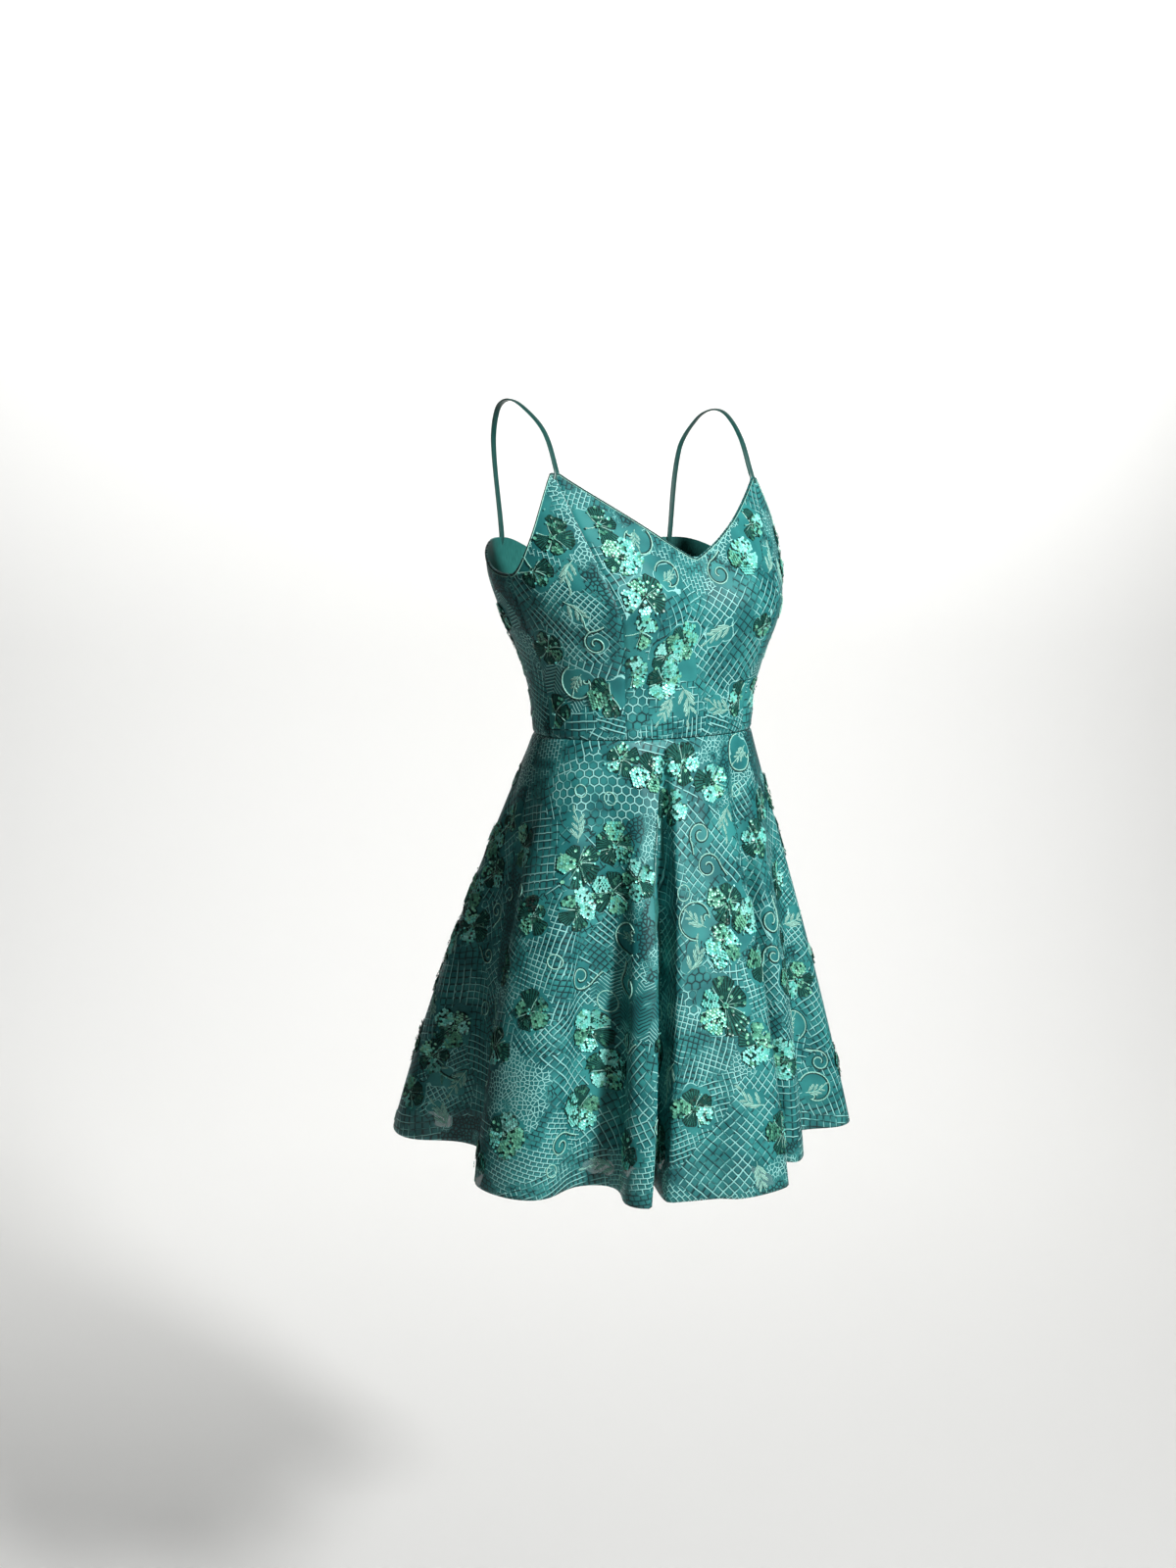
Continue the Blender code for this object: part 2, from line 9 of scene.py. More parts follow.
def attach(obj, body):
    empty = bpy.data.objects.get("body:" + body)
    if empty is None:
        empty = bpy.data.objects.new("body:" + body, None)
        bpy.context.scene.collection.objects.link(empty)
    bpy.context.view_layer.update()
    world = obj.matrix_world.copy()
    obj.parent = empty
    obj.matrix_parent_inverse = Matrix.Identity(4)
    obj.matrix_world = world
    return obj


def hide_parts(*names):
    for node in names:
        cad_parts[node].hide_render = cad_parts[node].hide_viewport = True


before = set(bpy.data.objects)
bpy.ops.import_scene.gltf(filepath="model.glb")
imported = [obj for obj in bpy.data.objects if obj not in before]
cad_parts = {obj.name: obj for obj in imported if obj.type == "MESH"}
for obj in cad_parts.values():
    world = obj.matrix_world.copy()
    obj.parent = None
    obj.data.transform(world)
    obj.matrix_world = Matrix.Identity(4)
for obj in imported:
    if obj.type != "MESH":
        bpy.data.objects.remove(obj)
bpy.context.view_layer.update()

# The dress in metres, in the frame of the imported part: the origin lies between the tops of the two
# straps, the front faces -Y, and drops are measured down from the origin.
WAIST_DROP = 0.330
SKIRT_DROP = 0.440
LINING_SHORTER = 0.038
SEAM_GAP = 0.0003
BODICE_WALL = 0.0020
LACE_WALL = 0.0005
LINING_WALL = 0.0005
LINING_INSET = 0.0019
NECK_DROP = 0.154
STRAP_POINT_DROP = 0.072
UNDERARM_DROP = 0.169
BACK_CORNER_DROP = 0.134
BACK_DIP_DROP = 0.160
NECK_BOW = 0.006
STRAP_LAND = 0.0050  # half the flat top of each corner that carries a strap
CORNER_RADIUS = 0.12  # turns a short width along the bodice into an angle
STRAP_LAND_ANGLE = math.degrees(STRAP_LAND / CORNER_RADIUS)
ARMHOLE_SCOOP = 1.1
STRAP_WIDTH = 0.0060
STRAP_WALL = 0.0020
ZIP_WIDTH = 0.020
ZIP_BELOW_NECK = 0.0012
ZIP_BELOW_WAIST = 0.150
ZIP_INSET = 0.0027
ZIP_WALL = 0.0006
ZIP_SLIT = 0.0125
ZIP_SLIT_BELOW_WAIST = 0.195
ZIP_SLIT_CLOSING = 0.10  # the share of the skirt's length over which that slit closes below

# The figure's sections, by how far they lie below the shoulders, with the two rises of the bust.
FIGURE_DROP = (0.020, 0.072, 0.120, 0.165, 0.205, 0.245, 0.285, 0.330)
FIGURE_HALF_WIDTH = (0.1480, 0.1530, 0.1600, 0.1610, 0.1500, 0.1340, 0.1225, 0.1185)
FIGURE_FRONT = (0.052, 0.062, 0.083, 0.098, 0.105, 0.098, 0.090, 0.087)
FIGURE_BACK = (0.084, 0.100, 0.112, 0.114, 0.107, 0.097, 0.088, 0.084)
FIGURE_AHEAD = (0.030, 0.036, 0.041, 0.044, 0.048, 0.050, 0.052, 0.053)
SQUARENESS = 2.3
CUP_RISE = 0.016
CUP_DROP = 0.196
CUP_SIDE = 0.078
CUP_WIDTH = 0.040
CUP_HEIGHT = 0.042
CUP_ASIDE = 0.35
PRINCESS_DROP = (0.072, 0.120, 0.165, 0.205, 0.260, 0.330)
PRINCESS_ANGLE = (51.5, 43.5, 37.5, 35.5, 35.0, 35.0)
SIDE_ANGLE = 87.0
BACK_CORNER_ANGLE = 140.0

# The skirt's folds from the centre back round by the wearer's right: angle at the waist, angle at the
# hem, reach at the hem, how far down the fold starts, and how softly it opens.
FOLDS = np.array((
    (-180.0, -180.0, 0.180, 0.10, 1.25),
    (-161.0, -164.0, 0.232, 0.06, 1.25),
    (-144.0, -149.0, 0.184, 0.05, 1.25),
    (-126.0, -131.0, 0.252, 0.04, 1.25),
    (-94.0, -98.0, 0.160, 0.05, 1.25),
    (-70.0, -65.0, 0.230, 0.03, 1.10),
    (-46.0, -43.0, 0.166, 0.03, 1.00),
    (-18.5, -28.5, 0.226, 0.03, 1.00),
    (-14.5, -26.0, 0.140, 0.03, 0.70),
    (-10.5, -23.0, 0.214, 0.03, 1.00),
    (10.0, 8.0, 0.232, 0.03, 1.25),
    (21.0, 22.0, 0.146, 0.04, 0.85),
    (29.0, 27.5, 0.204, 0.06, 1.00),
    (46.0, 48.0, 0.178, 0.08, 1.25),
    (66.0, 66.0, 0.254, 0.03, 1.25),
    (92.0, 92.0, 0.165, 0.05, 1.25),
    (117.0, 118.0, 0.243, 0.04, 1.25),
    (141.0, 143.0, 0.182, 0.05, 1.25),
    (160.0, 162.0, 0.232, 0.06, 1.25),
))
RIGHT_SIDE_FOLD = 4
LEFT_SIDE_FOLD = 15
FOLD_FULLNESS = 0.72
FULLNESS_AT_WAIST = 0.25  # the share of that fullness at the waist, and its growth down the skirt
FULLNESS_GROWTH = 1.5
HEM_RADIUS = 0.206
HEM_AHEAD = 0.020
FLARE_BELL = 0.45
ROUNDING = 1e-9  # keeps a whole fold number whole

# The left strap's way over the shoulder.
STRAP_ROUTE = (
    (0.1220, -0.0560, -0.0330),
    (0.1280, -0.0240, -0.0065),
    (0.1290, 0.0000, 0.0000),
    (0.1260, 0.0230, -0.0080),
    (0.1180, 0.0440, -0.0400),
)

# Seams are pressed in: the cloth rolls under by this much, over this width beside the seam.
SEAM_ROLL = 0.0011
SEAM_ROLL_WIDTH = 0.0020
SEAM_STEPS = (0.0, 0.0006, 0.0013, 0.0022, 0.0036)

BODICE_CLOTH_TOP = 0.060  # a bodice panel's cloth starts this far below the shoulders, before it is cut
BODICE_LENGTH = 0.20
BODICE_STEP = 0.0030  # the size of the cloth's squares, in metres
LACE_STEP = 0.0045
LINING_STEP = 0.0070

# The fine grids that the cloth is measured on: their rows and columns, and the points of a top edge.
BODICE_GRID = (220, 200)
SKIRT_ROWS, FRONT_COLUMNS, BACK_COLUMNS = 190, 520, 260
TOP_EDGE_POINTS = 160


# ---------------------------------------------------------------- the form of the dress
def smooth_value(stations, values, at):
    """The values at the places given by at, on a smooth curve through values at rising stations."""
    stations = np.asarray(stations, float)
    values = np.asarray(values, float)
    slopes = np.empty_like(values)
    slopes[1:-1] = (values[2:] - values[:-2]) / (stations[2:] - stations[:-2])
    slopes[0] = (values[1] - values[0]) / (stations[1] - stations[0])
    slopes[-1] = (values[-1] - values[-2]) / (stations[-1] - stations[-2])
    low = np.clip(np.searchsorted(stations, at, side="right") - 1, 0, len(stations) - 2)
    span = stations[low + 1] - stations[low]
    s = (at - stations[low]) / span
    rise = values[low + 1] - values[low]
    start = slopes[low] * span
    end = slopes[low + 1] * span
    return values[low] + s * (start + s * (3 * rise - 2 * start - end + s * (start + end - 2 * rise)))


def mix(a, b, share):
    return a + (b - a) * share


def eased(share):
    return (1 - np.cos(math.pi * share)) / 2


def unit(vectors):
    return vectors / np.linalg.norm(vectors, axis=-1, keepdims=True)


def rounded_power(value):
    return np.copysign(np.abs(value) ** (2 / SQUARENESS), value)


def figure_points(angle, drop):
    """The bodice's outer surface at angles in degrees from the centre front and drops from the shoulders."""
    half_width, front, back, ahead = (
        smooth_value(FIGURE_DROP, sizes, drop)
        for sizes in (FIGURE_HALF_WIDTH, FIGURE_FRONT, FIGURE_BACK, FIGURE_AHEAD)
    )
    turn = np.radians(angle)
    side = half_width * rounded_power(np.sin(turn))
    forward = rounded_power(np.cos(turn))
    reach = np.where(forward > 0, front, back)
    across = (np.abs(side) - CUP_SIDE) / CUP_WIDTH
    down = (drop - CUP_DROP) / CUP_HEIGHT
    rise = CUP_RISE * np.exp(-(across**2 + down**2) / 2) * np.sqrt(np.maximum(forward, 0.0))
    return np.stack(
        (side + rise * CUP_ASIDE * np.sin(turn), -ahead - reach * forward - rise, -drop + 0 * side), axis=-1
    )


def skirt_points(fold, fall):
    """The lace skirt's outer surface. A whole number for fold is that row of FOLDS, and fall is 0 at the
    waist seam and 1 at the hem."""
    fold, fall = np.broadcast_arrays(np.asarray(fold, float), np.asarray(fall, float))
    index = np.floor(fold + ROUNDING).astype(int)
    share = fold - index

    def fold_rows(number):
        turns, place = np.divmod(number, len(FOLDS))
        waist, hem, reach, start, onset = np.moveaxis(FOLDS[place], -1, 0)
        growth = np.maximum(0.0, (fall - start) / (1 - start)) ** onset
        return mix(waist, hem, fall) + 360.0 * turns, (reach - HEM_RADIUS) * growth

    here, depth_here = fold_rows(index)
    after, depth_after = fold_rows(index + 1)
    spread = FOLD_FULLNESS * np.minimum(1.0, FULLNESS_AT_WAIST + FULLNESS_GROWTH * fall)
    along = share + spread * np.sin(2 * math.pi * share) / (2 * math.pi)
    angle = mix(here, after, along)
    depth = mix(depth_here, depth_after, eased(share))[..., None]
    waist = figure_points((angle + 180.0) % 360.0 - 180.0, np.full(angle.shape, WAIST_DROP))
    turn = np.radians(angle)
    outward = np.stack((np.sin(turn), -np.cos(turn), np.zeros_like(turn)), axis=-1)
    hem = outward * HEM_RADIUS + np.array((0, -HEM_AHEAD, 0))
    flare = (fall + FLARE_BELL * fall * (1 - fall))[..., None]
    place = mix(waist, hem, flare) + outward * depth
    place[..., 2] = -WAIST_DROP - SKIRT_DROP * fall
    return place


def normals_of(points):
    """Outward normals of a grid of points whose rows run down and whose columns run to the viewer's right."""
    return unit(np.cross(np.gradient(points, axis=0), np.gradient(points, axis=1)))


def lengths_along(points):
    """How far each point of a line lies along it from its first."""
    steps = np.linalg.norm(np.diff(points, axis=0), axis=1)
    return np.concatenate(((0.0,), np.cumsum(steps)))


def even_columns(surface, start, end, down, columns):
    """For each row at down, the surface's own numbers from start to end at even lengths of cloth, and the
    row's whole length."""
    shares = np.linspace(0, 1, 4 * columns)
    numbers = mix(start[:, None], end[:, None], shares[None, :])
    steps = np.linalg.norm(np.diff(surface(numbers, down[:, None]), axis=1), axis=2)
    lengths = np.concatenate((np.zeros((len(down), 1)), np.cumsum(steps, axis=1)), axis=1)
    even = np.array([
        np.interp(np.linspace(0, row[-1], columns), row, row_numbers)
        for row, row_numbers in zip(lengths, numbers)
    ])
    return even, lengths[:, -1]


class Cloth:
    """A panel on the dress. Its flat pattern has x to the viewer's right and y up from the waist seam, both
    in metres of cloth, and a fine grid of points says where each place of the pattern lies when worn."""

    def __init__(self, surface, start, end, down, columns, creases=(), seams=(True, True)):
        self.down = down
        self.numbers, self.widths = even_columns(surface, start, end, down, columns)
        self.points = surface(self.numbers, down[:, None])
        middle = self.points[:, columns // 2]
        self.heights = lengths_along(middle)
        self.settle()
        across, fallen = np.meshgrid(np.linspace(0, 1, columns), np.linspace(0, 1, len(down)))
        x, y = self.flat(across, fallen)
        relief = np.zeros_like(x)
        width = np.interp(fallen, np.linspace(0, 1, len(down)), self.widths)
        for seam, share in zip(seams, (across, 1 - across)):
            if seam:
                relief -= SEAM_ROLL * np.exp(-((share * width / SEAM_ROLL_WIDTH) ** 2))
        relief -= SEAM_ROLL * np.exp(-((self.from_waist(x, y) / SEAM_ROLL_WIDTH) ** 2))
        # A crease fades as a bell along and across its own axis, and sooner along it.
        for crease_x, crease_y, length, breadth, turn, depth in creases:
            cos, sin = math.cos(math.radians(turn)), math.sin(math.radians(turn))
            along = ((x - crease_x) * cos + (y - crease_y) * sin) / length
            beside = ((y - crease_y) * cos - (x - crease_x) * sin) / breadth
            relief += depth * np.exp(-(along**2) * 2 - beside**2)
        self.points = self.points + normals_of(self.points) * relief[..., None]
        self.normals = normals_of(self.points)

    def on_grid(self, grid, across, down):
        """The grid's value at shares across and down the panel."""
        rows, columns = grid.shape[:2]
        row = np.clip(down, 0, 1) * (rows - 1)
        column = np.clip(across, 0, 1) * (columns - 1)
        top = np.minimum(row.astype(int), rows - 2)
        left = np.minimum(column.astype(int), columns - 2)
        lower = (row - top)[..., None]
        right = (column - left)[..., None]
        above = mix(grid[top, left], grid[top, left + 1], right)
        below = mix(grid[top + 1, left], grid[top + 1, left + 1], right)
        return mix(above, below, lower)

    def lay(self, flat):
        """Points given as x, y and lift over the flat cloth, on the worn cloth."""
        across, down = self.shares(flat[..., 0], flat[..., 1])
        normal = self.on_grid(self.normals, across, down)
        return self.on_grid(self.points, across, down) + normal * flat[..., 2:3]


class BodiceCloth(Cloth):
    def settle(self):
        self.heights = self.heights[-1] - self.heights

    def flat(self, across, down):
        steps = np.linspace(0, 1, len(self.down))
        return (across - 0.5) * np.interp(down, steps, self.widths), np.interp(down, steps, self.heights)

    def shares(self, x, y):
        steps = np.linspace(0, 1, len(self.down))
        down = np.interp(y, self.heights[::-1], steps[::-1])
        return x / np.interp(down, steps, self.widths) + 0.5, down

    def from_waist(self, x, y):
        return y

    def spot(self, across, up):
        """The flat place and the turn of the cloth at a share across and a height above the waist."""
        down = np.interp(up, self.heights[::-1], np.linspace(1, 0, len(self.down)))
        return (*self.flat(across, down), 0.0)

    def at(self, angle, drop):
        """The shares across and down of places that are given by angle and drop."""
        down = (drop - self.down[0]) / (self.down[-1] - self.down[0])
        row = np.clip(down, 0, 1) * (len(self.down) - 1)
        top = np.minimum(row.astype(int), len(self.down) - 2)
        shares = np.linspace(0, 1, self.numbers.shape[1])
        found = [
            mix(np.interp(a, self.numbers[t], shares), np.interp(a, self.numbers[t + 1], shares), r - t)
            for a, t, r in zip(angle.ravel(), top.ravel(), row.ravel())
        ]
        return np.array(found).reshape(angle.shape), down


class SkirtCloth(Cloth):
    """A skirt panel is cut as part of a ring, which lies on its pattern with its middle straight down."""

    def settle(self):
        self.length = self.heights[-1]
        self.spread = (self.widths[-1] - self.widths[0]) / self.length
        self.apex = self.widths[0] / self.spread

    def flat(self, across, down):
        radius = self.apex + self.length * down
        turn = (across - 0.5) * self.spread
        return radius * np.sin(turn), self.apex - radius * np.cos(turn)

    def shares(self, x, y):
        radius = np.hypot(x, self.apex - y)
        return np.arctan2(x, self.apex - y) / self.spread + 0.5, (radius - self.apex) / self.length

    def from_waist(self, x, y):
        return np.hypot(x, self.apex - y) - self.apex

    def spot(self, across, up):
        """The flat place and the turn of the cloth at a share across and a height, below the waist here."""
        return (*self.flat(across, -up / self.length), math.degrees((across - 0.5) * self.spread))


# ---------------------------------------------------------------- colour and material tools
def linear(colour):
    """A hex colour as the eye reads it, turned to the linear values that shaders take."""
    parts = [int(colour[i : i + 2], 16) / 255 for i in (1, 3, 5)]
    return (*(c / 12.92 if c <= 0.04045 else ((c + 0.055) / 1.055) ** 2.4 for c in parts), 1.0)


def add(tree, kind, *values, **settings):
    """Adds a shader node. kind gives its type and, after a space, its operation. The values fill its
    sockets in turn, or by name or number from a dict. Another node, or a socket of one, is linked, and any
    other value is set."""
    kind, *operation = kind.split()
    node = tree.nodes.new("ShaderNode" + kind)
    for name, value in (*(("operation", word) for word in operation), *settings.items()):
        setattr(node, name, value)
    by_name = values and isinstance(values[0], dict)
    for key, value in values[0].items() if by_name else enumerate(values):
        if isinstance(value, bpy.types.Node):
            value = value.outputs[0]
        if isinstance(value, bpy.types.NodeSocket):
            tree.links.new(value, node.inputs[key])
        else:
            node.inputs[key].default_value = value
    return node


def new_material(name, **values):
    """A material with its shader, whose constant values are set on the shader's own sockets."""
    material = bpy.data.materials.new(name)
    material.use_nodes = True
    tree = material.node_tree
    shader = tree.nodes["Principled BSDF"]
    for socket, value in values.items():
        shader.inputs[socket.replace("_", " ")].default_value = value
    return material, tree, shader


def surface(tree, shader, colour, height=None, relief=0.0, strength=0.0):
    """Gives a shader its colour, and the low relief of a height pattern as bump."""
    tree.links.new(colour.outputs[0], shader.inputs["Base Color"])
    if height is not None:
        bump = add(tree, "Bump", {"Height": height, "Distance": relief, "Strength": strength})
        tree.links.new(bump.outputs[0], shader.inputs["Normal"])


def ramp(tree, value, stops, interpolation="LINEAR"):
    """Colours or brightnesses by value, from stops of (place, colour)."""
    node = add(tree, "ValToRGB", value)
    node.color_ramp.interpolation = interpolation
    while len(node.color_ramp.elements) < len(stops):
        node.color_ramp.elements.new(0.5)
    for element, (place, colour) in zip(node.color_ramp.elements, stops):
        element.position = place
        element.color = linear(colour) if isinstance(colour, str) else (*colour, 1.0)
    return node


# A net is drawn as three masks: red for its first thread, green for its second, and blue for their shadow.
FIRST, SECOND, SHADOW, BARE, WHITE = (1, 0, 0), (0, 1, 0), (0, 0, 1), (0, 0, 0), (1, 1, 1)
NET_THREAD = 0.00115  # drawn a little coarser than real, so that a net shows from where the dress does
HALF = (0.5, 0.5, 0.5)
LOOPED_SQUARES = 0.18  # the share of a grid's squares that have a small loop stitched in them
BRICK_LENGTH = 1.45
COMB_RIB = 3.0  # pitches from one spine of the comb to the next
COMB_SLANT = 0.75


def net_lines(tree, place, pitch, thread=FIRST):
    """Parallel threads, a pitch apart, where place is in pitches, with their shadow on one side."""
    wide = NET_THREAD / pitch
    return ramp(tree, place, (
        (0.5 - 0.75 * wide, BARE),
        (0.5 - 0.50 * wide, thread),
        (0.5 + 0.20 * wide, thread),
        (0.5 + 0.42 * wide, SHADOW),
        (0.5 + 1.20 * wide, SHADOW),
        (0.5 + 1.55 * wide, BARE),
    ))


def both(tree, first, second):
    """Two nets over each other."""
    return add(tree, "MixRGB", 1.0, first, second, blend_type="LIGHTEN")


def grid_net(tree, at, pitch):
    """Square mesh, with a small loop stitched in some of its squares."""
    scaled = add(tree, "VectorMath SCALE", {0: at, "Scale": 1 / pitch})
    cell = add(tree, "VectorMath FRACTION", scaled)
    part = add(tree, "SeparateXYZ", cell)
    down = net_lines(tree, part.outputs["X"], pitch)
    across = net_lines(tree, part.outputs["Y"], pitch, SECOND)
    lines = both(tree, down, across)
    corner = add(tree, "VectorMath ADD", cell, HALF)
    centred = add(tree, "VectorMath WRAP", corner, HALF, tuple(-h for h in HALF))
    reach = add(tree, "VectorMath LENGTH", centred).outputs["Value"]
    loop = ramp(tree, reach, ((0.10, BARE), (0.13, FIRST), (0.20, FIRST), (0.23, BARE)))
    shifted = add(tree, "VectorMath SUBTRACT", scaled, HALF)
    square = add(tree, "VectorMath FLOOR", shifted)
    lot = add(tree, "TexWhiteNoise", {"Vector": square}, noise_dimensions="2D")
    some = add(tree, "Math GREATER_THAN", lot.outputs["Value"], 1 - LOOPED_SQUARES)
    chosen = add(tree, "MixRGB", some, (0, 0, 0, 1), loop)
    return both(tree, lines, chosen)


def hexagon_net(tree, at, pitch):
    """Honeycomb: each place belongs to the nearer of two shifted rows of cells."""
    size = (1.0, math.sqrt(3), 1.0)
    half = tuple(s / 2 for s in size)
    scaled = add(tree, "VectorMath SCALE", {0: at, "Scale": 1 / pitch})
    shifted = add(tree, "VectorMath SUBTRACT", scaled, half)
    less = tuple(-h for h in half)
    rows = [add(tree, "VectorMath WRAP", start, half, less) for start in (scaled, shifted)]
    lengths = [add(tree, "VectorMath LENGTH", row).outputs["Value"] for row in rows]
    nearer = add(tree, "Math LESS_THAN", lengths[1], lengths[0])
    own = add(tree, "MixRGB", nearer, rows[0], rows[1])
    part = add(tree, "SeparateXYZ", add(tree, "VectorMath ABSOLUTE", own))
    slant = add(tree, "Math MULTIPLY", part.outputs["X"], 0.5)
    slant = add(tree, "Math MULTIPLY_ADD", part.outputs["Y"], half[1], slant)
    reach = add(tree, "Math MAXIMUM", slant, part.outputs["X"])
    wide = NET_THREAD / pitch
    return ramp(tree, reach, (
        (0.5 - 1.40 * wide, BARE),
        (0.5 - 1.10 * wide, SHADOW),
        (0.5 - 0.62 * wide, SHADOW),
        (0.5 - 0.42 * wide, FIRST),
    ))


def brick_net(tree, at, pitch):
    """Short bars in rows that are each half a step on from the last."""
    masks = []
    for shift in (0.0, 0.9 * NET_THREAD):
        moved = add(tree, "VectorMath ADD", at, (-shift, shift, 0))
        masks.append(add(
            tree, "TexBrick",
            {"Vector": moved, "Scale": 1.0, "Mortar Size": 0.42 * NET_THREAD, "Mortar Smooth": 0.2,
             "Brick Width": BRICK_LENGTH * pitch, "Row Height": pitch},
        ).outputs["Fac"])
    shade = add(tree, "Math SUBTRACT", masks[1], masks[0], use_clamp=True)
    return add(tree, "CombineXYZ", {"X": masks[0], "Z": shade})


def scribble_net(tree, at, pitch):
    """A free-hand mesh of small uneven cells."""
    cells = add(
        tree, "TexVoronoi", {"Vector": at, "Scale": 1 / pitch},
        voronoi_dimensions="2D", feature="DISTANCE_TO_EDGE",
    )
    wide = NET_THREAD / pitch
    return ramp(tree, cells.outputs["Distance"], (
        (0.32 * wide, SECOND), (0.50 * wide, SHADOW), (0.80 * wide, SHADOW), (1.10 * wide, BARE),
    ))


def comb_net(tree, at, pitch):
    """Slanting stitches that turn back at each spine, as in a herringbone."""
    rib = COMB_RIB * pitch
    part = add(tree, "SeparateXYZ", at)
    away = add(tree, "Math PINGPONG", part.outputs["Y"], rib)
    slant = add(tree, "Math MULTIPLY_ADD", away, COMB_SLANT, part.outputs["X"])
    scaled = add(tree, "Math MULTIPLY", slant, 1 / pitch)
    lines = net_lines(tree, add(tree, "Math FRACT", scaled), pitch)
    # The spine is a line of painted shadow between the two slants.
    spine_shadow = ramp(tree, add(tree, "Math MULTIPLY", away, 1 / rib), (
        (0.50 * NET_THREAD / rib, SHADOW), (0.90 * NET_THREAD / rib, BARE),
    ))
    return both(tree, lines, spine_shadow)


# The kinds of net, each with its pitch. The quilt takes those up to QUILT_KINDS.
SATIN, GRID, SCRIBBLE, FINE_GRID, BRICK, HEXAGON, COMB = range(7)
NETS = {
    GRID: (grid_net, 0.0078),
    SCRIBBLE: (scribble_net, 0.0044),
    FINE_GRID: (grid_net, 0.0056),
    BRICK: (brick_net, 0.0048),
    HEXAGON: (hexagon_net, 0.0090),
    COMB: (comb_net, 0.0040),
}
QUILT_KINDS = BRICK
QUILT_CELL = 0.080
TULLE_COVER = 0.90  # how much of the light sheer tulle stops, under its nets and where it is bare
CLEAR_TULLE_COVER = 0.70

# Slow shifts in the cloth's pattern: how far apart they turn, and their reach.
PATCH_DRIFT = (0.050, 0.012)
THREAD_BEND = (0.120, 0.004)
THREAD_SHAKE = (0.012, 0.0005)

# The bare satin round a motif ends in a wavy line, along parts of which a cord runs.
CLEARING_WAVE = 0.020
CLEARING_WAVE_REACH = 0.024
CLEARING_EDGE = 0.012
CORDED_CLEARINGS = 0.25

# The ground's dye changes over patches of this size, and so do the painted light and shade of the net's
# threads. The yarn is painted in three tones, lit mint, half lit and near black in shade, and the shaded tone
# is also the colour of the threads' painted shadow.
DYE_AND_SHADE_SIZE = 0.036
GROUND_DARK, GROUND_LIGHT = "#1d6a6c", "#358f8d"
YARN_SHADED, YARN_HALF_LIT, YARN_LIT = "#0c3638", "#58aaa6", "#97dcd6"


def noise_offset(tree, at, size, reach):
    """A shift of up to reach in any direction, which changes over size."""
    noise = add(tree, "TexNoise", {"Vector": at, "Scale": 1 / size, "Detail": 1.0})
    centred = add(tree, "VectorMath SUBTRACT", noise.outputs["Color"], HALF)
    return add(tree, "VectorMath SCALE", {0: centred, "Scale": 4 * reach})


